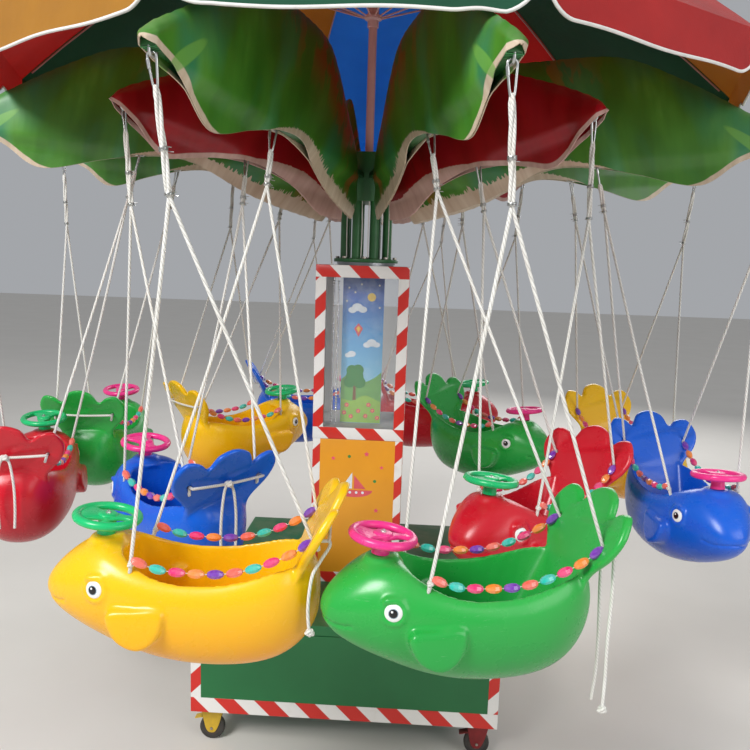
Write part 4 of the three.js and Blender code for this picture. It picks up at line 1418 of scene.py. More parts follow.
# %% Leaves at their places
leaf_masters = {"long": leaf_shell("leaf_long", LEAF_LONG, LONG_ARM),
                "short": leaf_shell("leaf_short", LEAF_SHORT, SHORT_ARM)}
for arm in ARMS:
    single = arm["kind"] == "single"
    piece = copied(leaf_masters["short" if single else "long"], f"leaf_{arm['number']}_look")
    turned(piece, arm_matrix(arm))
    painted(piece, "leaf_red" if single else "leaf_green")
    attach(piece, "crown")
    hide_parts(f"leaf_{arm['number']}")
removed(*leaf_masters.values())

# %% [markdown]
# ## Crown
# Below the leaves the crown is plain steelwork in green paint: a slewing plate with bolts, a trunk of
# eight tubes, a hub, and twelve box-section arms. Two bent bars under each arm carry the carabiners, and
# green tape is wound round the arm's end. The plate, the hub and the tubes start as cylinders, and each
# arm is a plate whose outline follows the line of its hooks, stood upright.

# %% Crown sizes and paint
PLATE = (1.8296, 1.8436, 0.132)
HUB = (2.070, 2.260, 0.112)
TRUNK_TUBES = 8
TRUNK_RADIUS = 0.092
TRUNK_TUBE = 0.0185
ARM_START = 0.090
ARM_HALF = 0.0195
ARM_HEIGHT = 0.022
HOOK_WIRE = 0.0036
HOOK_SPAN = 0.036
HOOK_END = 0.004
WRAP_START = 0.020
WRAP_TURNS = 5
WRAP_PITCH = 0.009
WRAP_PROUD = 0.0003
WRAP_THICKNESS = 0.0018
BOLTS = 8
BOLT_CIRCLE = 0.118
BOLT_SIZE = 0.009

surface("crown_paint", (0.028, 0.150, 0.040), second=(0.012, 0.075, 0.022), amount=0.6, scale=8.0, dust=0.4,
        roughness=0.42, grain=(160.0, 20.0, 0.6), bump=(0.25, 0.0008))
surface("bolt_steel", (0.48, 0.46, 0.42), second=(0.25, 0.17, 0.11), amount=0.7, scale=70.0, roughness=0.4,
        metallic=0.9, dust=0.25, bump=(0.25, 0.0005))
surface("mast_paint", (0.60, 0.36, 0.36), second=(0.48, 0.27, 0.28), amount=0.5, scale=12.0, roughness=0.35,
        dust=0.15, bump=(0.12, 0.0004))


# %% Arms, hooks and tape
def arm_tube(arm):
    outline = []
    for radius, lift in ((ARM_START, 0), (arm["tip"], 0), (arm["tip"], ARM_HEIGHT), (ARM_START, ARM_HEIGHT)):
        outline.append((radius, hook_line(arm, radius) + HOOK_DROP + lift))
    tube_piece = upright(slab("arm", outline, 2 * ARM_HALF), ARM_HALF)
    return painted(rounded(tube_piece, 0.003, 2), "crown_paint")


def hook_bar(arm, radius):
    start, end = radius - HOOK_SPAN / 2, min(radius + HOOK_SPAN / 2, arm["tip"] - HOOK_END)
    low_start, low_end = (Vector((place, 0, hook_line(arm, place))) for place in (start, end))
    inset = Vector((0.005, 0, 0))
    route = [raised(low_start, HOOK_DROP + 0.004), raised(low_start, 0.006), low_start + inset,
             low_end - inset, raised(low_end, 0.006), raised(low_end, HOOK_DROP + 0.004)]
    return painted(tube("hook", route, HOOK_WIRE, 3), "zinc")


def tie_wrap(arm, radius):
    """Green tape wound round the arm's end, over the hook's legs."""
    turns = []
    for number in range(WRAP_TURNS):
        centre = radius - WRAP_START + number * WRAP_PITCH
        if centre > arm["tip"] - HOOK_END:
            continue
        lift = hook_line(arm, centre) + HOOK_DROP + ARM_HEIGHT / 2
        half, up = ARM_HALF + WRAP_PROUD, ARM_HEIGHT / 2 + WRAP_THICKNESS
        corners = [(0, half, up), (0.002, -half, up), (0.004, -half, -up), (0.006, half, -up)]
        route = [Vector((centre + x, y, lift + z)) for x, y, z in corners]
        turns.append(painted(tube("wrap", route, WRAP_THICKNESS, 1, closed=True), "wrap_green"))
    return turns


# %% Crown frame
crown_pieces = []
for name, (low, high, radius), width in (("plate", PLATE, 0.002), ("hub", HUB, 0.003)):
    disc_piece = rod(name, (0, 0, low), (0, 0, high), radius, 64)
    crown_pieces.append(painted(rounded(disc_piece, width, 2), "crown_paint"))
for number in range(BOLTS):
    spot = turn(360 * (number + 1) / BOLTS, "Z") @ Vector((BOLT_CIRCLE, 0, PLATE[1]))
    bolt = rod("bolt", spot, raised(spot, BOLT_SIZE), BOLT_SIZE, 6)
    crown_pieces.append(painted(rounded(bolt, 0.001, 2), "bolt_steel"))
for number in range(TRUNK_TUBES):
    spot = turn(360 * (number + 0.5) / TRUNK_TUBES, "Z") @ Vector((TRUNK_RADIUS, 0, 0))
    foot, head = raised(spot, PLATE[1] - 0.002), raised(spot, HUB[0] + 0.002)
    crown_pieces.append(painted(rod("trunk", foot, head, TRUNK_TUBE, 28), "crown_paint"))
    weld = ring("weld", raised(foot, 0.003), TRUNK_TUBE + 0.0005, 0.0028, steps=28, sides=6)
    crown_pieces.append(painted(weld, "crown_paint"))
for arm in ARMS:
    facts = arm["arm"]
    own = [arm_tube(facts), *[hook_bar(facts, facts[end][0]) for end in ("outer", "inner")],
           *tie_wrap(facts, facts["outer"][0])]
    crown_pieces += [turned(piece, arm_matrix(arm)) for piece in own]
crown_look = smooth(joined("crown_frame_look", crown_pieces), 40)
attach(crown_look, "crown")
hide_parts("crown_frame")
print("crown frame:", len(crown_look.data.polygons), "faces")

# %% [markdown]
# Thin white cords are tied along the trunk's tubes, and they pass from the hub down to the plate. They
# belong to the steelwork and lie against it all the way, so they are plain tubes with the rope finish.

# %% Cords on the trunk
CORD_RADIUS = 0.0022
CORD_STEPS = 6
CORD_ANGLES = (-112, -98, -83, -70, -30, 15, 60, 110, 150, 195, 225)

trunk_cords = []
for number, angle in enumerate(CORD_ANGLES):
    reach = TRUNK_RADIUS + TRUNK_TUBE * 0.6 + 0.002
    route = []
    for step in range(CORD_STEPS + 1):
        share = step / CORD_STEPS
        bow = 1.2 * math.sin(number * 1.7) * math.sin(math.pi * share)
        height = PLATE[1] + 0.003 + (HUB[0] - PLATE[1]) * share
        route.append(turn(angle + bow, "Z") @ Vector((reach, 0, height)))
    trunk_cords.append(painted(tube("trunk_cord", through(route, 3), CORD_RADIUS, 1), "rope_white"))
trunk_cord_look = joined("trunk_cords_look", trunk_cords)
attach(trunk_cord_look, "crown")

# %% [markdown]
# ## Umbrella
# A ten-panel beach umbrella stands on the hub. Its cloth is one sheet: a ten-sided ring is extruded inward
# and upward to the top, so that the ribs make ten straight folds. Its first rows form the flaps that hang
# from the rim: their corners are round, and the hem rides up over the leaves. Between the ribs the panels
# dip a little, as tensioned cloth does. Each panel has its own colour, and a white binding edges the hem.

# %% Umbrella sizes and cloth
PANELS = 10
FIRST_RIB = -17
RIM = 1.420
RISE = 0.700
TOP = 3.220
POWER = 1.7
CLOTH = 0.0012
HEM = 2.392
HEM_WAVE = 0.004
HEM_WAVES = 17
PANEL_CUTS = 31
PANEL_WIDTH = 2 * RIM * math.sin(math.pi / PANELS)
FLAP_CORNER = 0.100
FLAP_RISE = 0.112
FLAP_FLARE = 0.006
LEAF_CLEAR = 0.006
LEAF_RUN = 0.080
ROWS = 22
SAG = 0.012
PANEL_COLOURS = ("green", "red", "yellow", "green", "red", "blue", "yellow", "green", "red", "yellow")
CLOTH_TINTS = {
    "green": ((0.016, 0.155, 0.075), (0.010, 0.105, 0.050)),
    "red": ((0.72, 0.032, 0.030), (0.54, 0.018, 0.020)),
    "yellow": ((0.68, 0.33, 0.020), (0.54, 0.245, 0.016)),
    # The blue is lighter than the cloth's own colour: painted light for the sun shining through it.
    "blue": ((0.050, 0.40, 0.92), (0.035, 0.32, 0.80)),
}
THREADS = 2400.0
TRANSLUCENCY = 0.50


def cloth_finish(name, tint, second):
    shader, where = new_material(name)
    tree = shader.id_data
    mottle = use_group("mottle", where, Scale=3.0, Colour=(*tint, 1.0), Second=(*second, 1.0), Amount=0.8)
    dusty = use_group("dust", where, Colour=mottle["Colour"], Amount=0.2)
    set_shader(shader, Base_Color=dusty["Colour"], Roughness=0.75, Sheen_Weight=0.2)
    x, y, _ = axes(where)
    weave, other = (math_node("SINE", times(math_node(way, x, y), THREADS)) for way in ("ADD", "SUBTRACT"))
    creases = noise(where, 5.0, 5.0, 0.55)
    add_bump(shader, math_node("MULTIPLY_ADD", times(weave, other), 0.02, creases), 0.7, 0.014)
    glow = fed(tree, "ShaderNodeBsdfTranslucent", Color=mottle["Colour"])
    blend = tree.nodes.new("ShaderNodeMixShader")
    for socket, value in zip(blend.inputs, (TRANSLUCENCY, shader.outputs[0], glow.outputs[0])):
        feed(socket, value)
    feed(tree.nodes["Material Output"].inputs["Surface"], blend.outputs[0])


for tint, (light, deep) in CLOTH_TINTS.items():
    cloth_finish(f"cloth_{tint}", light, deep)
surface("binding", (0.78, 0.77, 0.74), amount=0.5, scale=30.0, roughness=0.8, dust=0.2, bump=(0.4, 0.0006))


# %% Canopy and hem heights
def cloth_height(radius):
    return TOP - RISE * (radius / RIM) ** POWER


def panel_share(angle):
    """How far across its panel an angle lies, from 0 at one rib to 1 at the next."""
    return ((angle - FIRST_RIB) / (360 / PANELS)) % 1


def leaf_back(radius):
    """The height of a long leaf's back at this radius."""
    for (near, low), (far, high) in zip(LEAF_LONG["back"], LEAF_LONG["back"][1:]):
        if near <= radius <= far:
            return low + (high - low) * (radius - near) / (far - near)
    return 0.0


def hem_height(angle, radius):
    """Each panel's flap has round corners at the ribs, and its hem rides up where it meets a leaf."""
    from_rib = min(panel_share(angle), 1 - panel_share(angle)) * PANEL_WIDTH
    height = HEM + HEM_WAVE * math.sin(math.radians(angle) * HEM_WAVES)
    if from_rib < FLAP_CORNER:
        share = 1 - from_rib / FLAP_CORNER
        height += FLAP_RISE * (1 - math.sqrt(1 - share ** 2))
    for arm in ARMS:
        if arm["kind"] == "single":
            continue
        aside = abs((angle - arm["angle"] + 90) % 360 - 180)
        away = math.radians(aside) * radius
        share = clamped(1 - (away - LEAF_HALF) / LEAF_RUN)
        lift = leaf_back(radius) + LEAF_CLEAR - height
        height = max(height, height + lift * share ** 2 * (3 - 2 * share))
    return height


# %% Umbrella cloth
bpy.ops.mesh.primitive_circle_add(vertices=PANELS, radius=RIM, fill_type="NOTHING",
                                  rotation=(0, 0, math.radians(FIRST_RIB)))
canopy = added("umbrella_canopy_look")
edit(canopy)
bpy.ops.mesh.select_all(action="SELECT")
bpy.ops.mesh.subdivide(number_cuts=PANEL_CUTS)
bpy.ops.transform.translate(value=(0, 0, HEM))
for half in range(2):
    extrude((0, 0, (TOP - RISE - HEM) / 2))
for row in range(1, ROWS):
    before, after = 1 - (row - 1) / ROWS, 1 - row / ROWS
    extrude((0, 0, cloth_height(RIM * after) - cloth_height(RIM * before)))
    bpy.ops.transform.resize(value=(after / before, after / before, 1), center_override=(0, 0, 0))
extrude((0, 0, TOP - cloth_height(RIM / ROWS)))
bpy.ops.mesh.merge(type="CENTER")
close_up()
for point in canopy.data.vertices:
    radius = math.hypot(point.co.x, point.co.y)
    angle = math.degrees(math.atan2(point.co.x, -point.co.y))
    across = math.sin(math.pi * panel_share(angle))
    below = (TOP - RISE - point.co.z) / (TOP - RISE - HEM)
    if below > 0.01:
        point.co.z = TOP - RISE - below * (TOP - RISE - hem_height(angle, radius))
        flare = 1 + FLAP_FLARE * below * across
        point.co.x *= flare
        point.co.y *= flare
    else:
        point.co.z -= SAG * across * math.sin(math.pi * min(radius / RIM, 1.0) ** 1.3)
modify(canopy, "SOLIDIFY", thickness=CLOTH, offset=-1)


def panel_colour(centre):
    share = (math.degrees(math.atan2(centre.x, -centre.y)) - FIRST_RIB) / (360 / PANELS)
    return list(CLOTH_TINTS).index(PANEL_COLOURS[(math.floor(share) + PANELS) % PANELS])


painted(canopy, *[f"cloth_{tint}" for tint in CLOTH_TINTS])
colour_faces(canopy, panel_colour)
smooth(canopy, 25)
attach(canopy, "crown")
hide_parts("umbrella_canopy")

# %% Mast, ribs and binding
MAST_FOOT = (0, 0, 2.2605)
MAST_HEAD = (0, 0, 3.208)
MAST_RADIUS = 0.0165
RIB_RADIUS = 0.0036
RIB_DROP = 0.0105
RIB_STEPS = 10
BRACE_SHARE = 0.46
RUNNER_HEIGHT = 2.78
RUNNER_LEVELS = ((-0.03, 0.022), (-0.005, 0.022), (0.0, 0.034), (0.014, 0.034), (0.016, 0.022), (0.05, 0.022))


def under_cloth(share, gap):
    """A place under the cloth, at this share of the way from the mast to the rim."""
    return Vector((RIM * share, 0, cloth_height(RIM * share) - gap))


mast_pieces = [painted(rod("mast", MAST_FOOT, MAST_HEAD, MAST_RADIUS, 32), "mast_paint")]
runner = cylinder_stack("runner", RUNNER_LEVELS)
turned(runner, Matrix.Translation((0, 0, RUNNER_HEIGHT)))
mast_pieces.append(painted(rounded(runner, 0.001, 2), "mast_paint"))
for number in range(PANELS):
    spin = turn(FIRST_RIB + number * 360 / PANELS - 90, "Z")
    shares = [0.02 + 0.95 * step / RIB_STEPS for step in range(RIB_STEPS + 1)]
    route = [spin @ under_cloth(share, RIB_DROP) for share in shares]
    mast_pieces.append(painted(tube("rib", route, RIB_RADIUS, 2), "mast_paint"))
    brace_end = spin @ under_cloth(BRACE_SHARE, RIB_DROP + 0.004)
    brace_start = spin @ Vector((0.030, 0, RUNNER_HEIGHT + 0.007))
    mast_pieces.append(painted(rod("brace", brace_start, brace_end, RIB_RADIUS * 0.9, 8), "mast_paint"))
mast_look = smooth(joined("umbrella_mast_look", mast_pieces), 40)
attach(mast_look, "crown")
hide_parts("umbrella_mast")

# %% Binding along the hem
BINDING_STEPS = 64
BINDING_RADIUS = 0.0045

hem_route = []
for panel in range(PANELS):
    ends = [math.radians(FIRST_RIB + (panel + side) * 360 / PANELS) for side in (0, 1)]
    start, end = (Vector((RIM * math.sin(angle), -RIM * math.cos(angle), 0)) for angle in ends)
    for step in range(BINDING_STEPS):
        place = start.lerp(end, step / BINDING_STEPS)
        angle = math.degrees(math.atan2(place.x, -place.y))
        height = hem_height(angle, place.length)
        place *= 1 + FLAP_FLARE * math.sin(math.pi * panel_share(angle))
        hem_route.append(Vector((place.x, place.y, height)))
binding = painted(tube("umbrella_binding_look", hem_route, BINDING_RADIUS, 2, closed=True), "binding")
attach(binding, "crown")

# %% [markdown]
# ## Column
# The column is a painted box with a window frame on it, and both are edged with red and white warning
# tape. The frame is one block whose four sides are opened. Tape is a thin strip that stands half a
# millimetre proud. Its stripes read the sum of X and Y, which runs on round a corner, so one finish
# serves all four sides.

# %% Tape and paint
TAPE_PITCH = 0.152
TAPE_PROUD = 0.0006


def tape_finish(name, lean, shift):
    shader, where = new_material(name)
    x, y, z = axes(where)
    flat = fed(shader.id_data, "ShaderNodeCombineXYZ", X=math_node("ADD", x, y), Y=z).outputs[0]
    stripe = use_group("stripes", flat, Pitch=TAPE_PITCH, Lean=lean, Shift=shift)["Mask"]
    wear = span(noise(where, 14.0, 5.0, 0.7), 0.56, 0.75, 0.0, 0.35)
    red = mix_colour(wear, (0.60, 0.022, 0.014, 1.0), (0.42, 0.05, 0.035, 1.0))
    white = mix_colour(wear, (0.78, 0.77, 0.74, 1.0), (0.60, 0.55, 0.48, 1.0))
    dusty = use_group("dust", where, Colour=mix_colour(stripe, red, white), Amount=0.4)
    set_shader(shader, Base_Color=dusty["Colour"], Roughness=span(noise(where, 22.0), 0.3, 0.7, 0.28, 0.44))
    add_bump(shader, noise(where, 26.0, 3.0, 0.6), 0.3, 0.0012)


tape_finish("tape_rising", -1.0, 0.03)
tape_finish("tape_falling", 1.0, 0.055)
surface("column_amber", (0.78, 0.33, 0.016), second=(0.62, 0.235, 0.012), amount=0.6, scale=3.0, dust=0.2,
        roughness=0.36, bump=(0.12, 0.0008))
surface("inner_grey", (0.30, 0.30, 0.29), second=(0.16, 0.16, 0.16), amount=0.6, scale=6.0, dust=0.2,
        roughness=0.5, bump=(0.2, 0.0006))
surface("post_steel", (0.36, 0.37, 0.38), second=(0.20, 0.20, 0.21), amount=0.6, scale=9.0, dust=0.2,
        roughness=0.35, metallic=0.9, grain=(220.0, 16.0, 0.5), bump=(0.2, 0.0005))


# %% Strips of tape
def strip(low, high):
    return rounded(box("strip", low, high), TAPE_PROUD * 0.8, 1)


def corner_strips(half, low, high, width):
    """Tape on both faces of each upright corner."""
    strips = []
    for side in (-1, 1):
        for end in (-1, 1):
            start, edge = sorted((side * (half - width), side * (half - 0.001)))
            inner, outer = sorted((end * (half - 0.002), end * (half + TAPE_PROUD)))
            strips.append(strip((start, inner, low), (edge, outer, high)))
            strips.append(strip((inner, start, low), (outer, edge, high)))
    return strips


def band_strips(half, low, high):
    """Tape along all four sides at one height."""
    strips = []
    for end in (-1, 1):
        inner, outer = sorted((end * (half - 0.002), end * (half + TAPE_PROUD)))
        strips.append(strip((-half, inner, low), (half, outer, high)))
        strips.append(strip((inner, -half, low), (outer, half, high)))
    return strips


def taped(name, half, foot, band, low, high, width):
    """A band of tape round the foot, and tape up the four corners."""
    strips = [painted(piece, "tape_rising") for piece in corner_strips(half, low, high, width)]
    strips += [painted(piece, "tape_falling") for piece in band_strips(half, foot, band)]
    tape = joined(name, strips)
    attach(tape, "base")


# %% Housing
HOUSING_TAPE = 0.030
HOUSING_BAND = 0.045

housing_low, housing_high = map(Vector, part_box("column_housing"))
housing = smooth(rounded(box("column_housing_look", housing_low, housing_high), 0.003))
painted(housing, "column_amber")
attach(housing, "base")
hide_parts("column_housing")
band_top = housing_low.z + HOUSING_BAND
taped("housing_tape_look", housing_high.x, housing_low.z, band_top, band_top, housing_high.z, HOUSING_TAPE)
print("housing:", [round(value, 3) for value in (*housing_low, *housing_high)])

# %% [markdown]
# The window frame is modelled from a box, and a wide tool box in each direction cuts the openings between
# its posts. Two bisects then part the rails from the posts, because their tape slants the other way. On
# top sits the bearing, a short turned drum, and the drive post is turned in the same way.

# %% Window frame
POST = 0.042
RAIL = 0.048
BEARING = (0.120, 0.012)

frame_low, frame_high = map(Vector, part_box("window_frame"))
frame_top = frame_high.z - BEARING[1]
window = box("window_frame_look", frame_low, (frame_high.x, frame_high.y, frame_top))
for wide_x, wide_y in ((frame_high.x - POST, 1.0), (1.0, frame_high.x - POST)):
    opening = box("opening", (-wide_x, -wide_y, frame_low.z + RAIL), (wide_x, wide_y, frame_top - RAIL))
    cut(window, opening)
rounded(window, 0.0025, 2)
painted(window, "tape_rising", "tape_falling", "inner_grey")


def window_finish(centre):
    if max(abs(centre.x), abs(centre.y)) < frame_high.x - 0.003:
        return 2
    on_rail = centre.z < frame_low.z + RAIL or centre.z > frame_top - RAIL
    return 1 if on_rail else 0


edit(window)
for height in (frame_low.z + RAIL, frame_top - RAIL):
    slice_at((0, 0, height), (0, 0, 1))
finish_edit()
colour_faces(window, window_finish)
smooth(window, 30)
bearing_levels = ((frame_top - 0.006, 0.116), (frame_top + 0.004, 0.116), (frame_top + 0.0045, BEARING[0]),
                  (frame_top + BEARING[1], BEARING[0]))
bearing = painted(smooth(cylinder_stack("bearing", bearing_levels, 64), 30), "post_steel")
window = joined("window_frame_look", [window, bearing])
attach(window, "base")
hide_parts("window_frame")

# %% Drive post
post_foot, post_head = (corner[2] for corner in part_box("drive_post"))
post_levels = ((post_foot, 0.052), (post_foot + 0.012, 0.052), (post_foot + 0.0125, 0.038),
               (post_head - 0.016, 0.038), (post_head - 0.0155, 0.050), (post_head, 0.050))
post = cylinder_stack("drive_post_look", post_levels, 48)
post = painted(smooth(rounded(post, 0.001, 2), 30), "post_steel")
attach(post, "base")
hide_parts("drive_post")

# %% [markdown]
# ## Printed board
# Behind the window hangs a printed board, with a plain summer picture: a sky that fades from night blue
# to pale blue, a sun, clouds, hills, a round tree and flowers. The sky is a gradient over the height of
# the board, and the figures are thin cut shapes laid on it, with their outlines made by formulas.

# %% Board and sky
SKY = ((0.0, (0.34, 0.62, 0.72)), (0.35, (0.22, 0.55, 0.78)), (0.62, (0.10, 0.36, 0.70)),
       (0.86, (0.04, 0.13, 0.48)), (1.0, (0.02, 0.06, 0.30)))

board_low, board_high = map(Vector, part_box("display_board"))
board_size = board_high - board_low
shader, where = new_material("print_sky")
climb = span(axes(where)["Z"], board_low.z, board_high.z)
ramp = fed(shader.id_data, "ShaderNodeValToRGB", Fac=climb)
for place, colour in SKY[1:-1]:
    ramp.color_ramp.elements.new(place)
for element, (place, colour) in zip(ramp.color_ramp.elements, SKY):
    element.position = place
    element.color = (*colour, 1.0)
softly = span(noise(where, 9.0, 4.0, 0.6), 0.5, 0.75, 0.0, 0.35)
hazy = mix_colour(softly, ramp.outputs["Color"], (0.62, 0.76, 0.84, 1.0))
set_shader(shader, Base_Color=hazy, Roughness=0.32)
add_bump(shader, noise(where, 18.0, 2.0), 0.15, 0.0015)

# %% Printed shapes
PRINT = 0.0004
LAYER_STEP = 0.2
PRINT_TINTS = {
    "sun": (0.90, 0.62, 0.12), "cloud": (0.80, 0.86, 0.90), "hill": (0.16, 0.42, 0.10),
    "meadow": (0.30, 0.55, 0.07), "tree": (0.04, 0.25, 0.05), "bark": (0.22, 0.10, 0.04),
    "petal": (0.80, 0.08, 0.16), "yolk": (0.90, 0.55, 0.05), "star": (0.88, 0.84, 0.55),
    "kite": (0.75, 0.10, 0.12),
}
for tint, colour in PRINT_TINTS.items():
    surface(f"print_{tint}", colour, amount=0.6, scale=40.0, roughness=0.34, dust=0.05, bump=(0.08, 0.0005))


def on_board(across, up):
    """A place on the picture, as shares of its width and height."""
    return board_low.x + across * board_size.x, board_low.z + up * board_size.z


def shape(tint, outline, layer, face=board_low.y):
    """A thin printed shape in front of a face, with its outline counter-clockwise."""
    return painted(upright(slab("shape", outline, PRINT), face - (layer - 1) * PRINT), f"print_{tint}")


def round_outline(x, z, size, steps, squash=1.0):
    angles = [2 * math.pi * step / steps for step in range(steps)]
    return [(x + size * math.cos(angle), z + size * squash * math.sin(angle)) for angle in angles]


def star_outline(x, z, outer, inner):
    points = []
    for step in range(10):
        reach = inner if step % 2 else outer
        angle = math.pi / 2 + math.pi * step / 5
        points.append((x + reach * math.cos(angle), z + reach * math.sin(angle)))
    return points


def disc(tint, across, up, size, layer, steps=20, squash=1.0):
    return shape(tint, round_outline(*on_board(across, up), size, steps, squash), layer)


def hill(tint, heights, layer):
    top = through([(*on_board(across, up), 0) for across, up in heights], 4)
    left, right = on_board(0.006, 0.003), on_board(0.994, 0.003)
    return shape(tint, [left, right, *[(point.x, point.y) for point in reversed(top)]], layer)


# %% Picture
CLOUDS = ((0.24, 0.78, 0.017), (0.36, 0.80, 0.022), (0.49, 0.785, 0.018), (0.62, 0.545, 0.016),
          (0.73, 0.56, 0.021), (0.85, 0.548, 0.015), (0.16, 0.47, 0.013), (0.25, 0.48, 0.017))
STARS = ((0.15, 0.93), (0.30, 0.90), (0.45, 0.955), (0.88, 0.95), (0.90, 0.80), (0.10, 0.84))
CROWN_DISCS = ((0.34, 0.325, 0.036), (0.22, 0.285, 0.024), (0.46, 0.285, 0.025), (0.27, 0.365, 0.023),
               (0.42, 0.37, 0.023))
FLOWERS = ((0.10, 0.07), (0.27, 0.045), (0.45, 0.085), (0.63, 0.05), (0.80, 0.09), (0.92, 0.04), (0.70, 0.13),
           (0.16, 0.125))
STAR = (0.0055, 0.0023)
PETAL_RING = 0.0055
PETAL = 0.0042
YOLK = 0.0034

board = painted(smooth(rounded(box("board", board_low, board_high), 0.0008, 2)), "print_sky")
picture = [board]
picture.append(hill("hill", ((0.006, 0.30), (0.25, 0.345), (0.55, 0.29), (0.8, 0.315), (0.994, 0.36)), 1))
picture.append(hill("meadow", ((0.006, 0.17), (0.3, 0.155), (0.6, 0.195), (0.994, 0.15)), 2))
picture.append(disc("sun", 0.70, 0.87, 0.017, 1, 28))
for number, (across, up, size) in enumerate(CLOUDS):
    picture.append(disc("cloud", across, up, size, 2 + LAYER_STEP * number, 20, 0.72))
for across, up in STARS:
    picture.append(shape("star", star_outline(*on_board(across, up), *STAR), 1))
kite_x, kite_z = on_board(0.40, 0.655)
for tint, half, low, high, layer in (("kite", 0.018, 0.034, 0.022, 3), ("yolk", 0.009, 0.017, 0.011, 4)):
    picture.append(shape(tint, [(kite_x - half, kite_z), (kite_x, kite_z - low), (kite_x + half, kite_z),
                                (kite_x, kite_z + high)], layer))
trunk_x, trunk_z = on_board(0.34, 0.16)
picture.append(shape("bark", [(trunk_x - 0.007, trunk_z), (trunk_x + 0.007, trunk_z),
                              (trunk_x + 0.004, trunk_z + 0.085), (trunk_x - 0.004, trunk_z + 0.085)], 3))
for number, (across, up, size) in enumerate(CROWN_DISCS):
    picture.append(disc("tree", across, up, size, 4 + LAYER_STEP * number, 24))
for across, up in FLOWERS:
    for petal in range(5):
        angle = 2 * math.pi * petal / 5 + across * 9
        petal_across = across + PETAL_RING * math.cos(angle) / board_size.x
        petal_up = up + PETAL_RING * math.sin(angle) / board_size.z
        picture.append(disc("petal", petal_across, petal_up, PETAL, 5 + LAYER_STEP * petal, 10))
    picture.append(disc("yolk", across, up, YOLK, 7, 12))
picture = joined("display_board_look", picture)
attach(picture, "base")
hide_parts("display_board")
print("picture:", len(picture.data.polygons), "faces")

# %% [markdown]
# The amber front carries a few worn stickers. They are plain shapes here, a small sailing boat and some
# stars and dots, cut from thin film in the same way as the figures of the picture.

# %% Stickers
BOAT = (-0.012, 0.922)
BOAT_HULL = (0.078, 0.030)
SAILS = (("cloud", ((-0.050, -0.006), (-0.006, -0.006), (-0.006, 0.062))),
         ("kite", ((0.002, -0.006), (0.050, -0.006), (0.002, 0.050))))
BUTTONS = (-0.040, -0.014, 0.012, 0.038)
STICKER_STARS = ((-0.085, 0.118, 0.010), (0.050, 0.140, 0.012), (0.112, 0.086, 0.009),
                 (-0.110, -0.070, 0.009), (0.095, -0.095, 0.011))
STICKER_DOTS = ((-0.020, 0.128), (0.086, 0.028), (-0.092, 0.020))


def sticker(tint, outline, layer=1):
    return shape(tint, [(BOAT[0] + x, BOAT[1] + z) for x, z in outline], layer, housing_low.y - 0.0002)


angles = [math.pi * (1 + step / 12) for step in range(13)]
boat_curve = [(BOAT_HULL[0] * math.cos(angle), -0.012 + BOAT_HULL[1] * math.sin(angle)) for angle in angles]
stickers = [sticker("kite", boat_curve)]
stickers += [sticker(tint, outline) for tint, outline in SAILS]
stickers += [sticker("cloud", round_outline(x, -0.022, 0.0055, 18), 2) for x in BUTTONS]
stickers += [sticker("petal", star_outline(x, z, size, size * 0.45)) for x, z, size in STICKER_STARS]
stickers += [sticker("tree", round_outline(x, z, 0.0065, 18)) for x, z in STICKER_DOTS]
stickers = joined("housing_stickers_look", stickers)
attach(stickers, "base")
print("stickers:", len(stickers.data.polygons), "faces")

# %% [markdown]
# Two strings of silver beads hang at the left of the board, from the upper rail to the lower one. A bead
# is a small sphere, an Array modifier repeats it down the string, and a thin thread runs through them. A
# clear, slightly wavy sheet of acrylic closes the window at the front.

# %% Window beads
CHAIN_BEAD = 0.0050
CHAIN_PITCH = 0.0112
CHAIN_THREAD = 0.0009
CHAINS = ((-0.117, -0.118), (-0.098, -0.124))

surface("silver", (0.78, 0.78, 0.80), second=(0.45, 0.45, 0.48), amount=0.7, scale=60.0, roughness=0.2,
        metallic=1.0, dust=0.05, bump=(0.1, 0.0003))
chain_low, chain_high = frame_low.z + RAIL, frame_top - RAIL
chains = []
for x, y in CHAINS:
    bead = ball("bead", (CHAIN_BEAD, CHAIN_BEAD, CHAIN_BEAD), 8, 6, (x, y, chain_low + CHAIN_PITCH))
    count = int((chain_high - chain_low) / CHAIN_PITCH) - 1
    modify(bead, "ARRAY", count=count, use_relative_offset=False, use_constant_offset=True,
           constant_offset_displace=(0, 0, CHAIN_PITCH))
    thread = rod("thread", (x, y, chain_low - 0.001), (x, y, chain_high + 0.001), CHAIN_THREAD, 6)
    chains += [painted(smooth(bead, 60), "silver"), painted(thread, "silver")]
chains = joined("window_beads_look", chains)
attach(chains, "base")

# %% Pane
PANE = (-0.138, -0.136)

shader, where = new_material("acrylic")
set_shader(shader, Base_Color=(0.95, 0.97, 1.0, 1.0), IOR=1.35, Alpha=0.06,
           Roughness=span(noise(where, 6.0, 3.0), 0.3, 0.7, 0.04, 0.14))
add_bump(shader, noise(where, 7.0, 2.0), 0.35, 0.012)
inside = frame_high.x - POST + 0.0005
pane = box("window_pane_look", (-inside, PANE[0], chain_low - 0.0005), (inside, PANE[1], chain_high + 0.0005))
painted(pane, "acrylic")
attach(pane, "base")

# %% [markdown]
# ## Cabinet
# The cabinet is a steel box in dark green paint, with tape along its bottom edge and up its corners. Its
# sides are thin sheet, so they carry a few shallow dents: the box is subdivided, and a smooth formula moves
# its side points in and out by a millimetre or two. A seam runs round under the deck.

# %% Cabinet body
CABINET_TAPE = 0.038
CABINET_BAND = 0.060
DENT = 0.0016
DENT_WAVES = (11, 17)
SEAM_DEPTH = 0.003
SEAM = (0.470, 0.474)
SIDE_CUTS = 16
CUT_HEIGHTS = (0.06, 0.12, 0.18, 0.24)
DENT_EDGE = 0.12

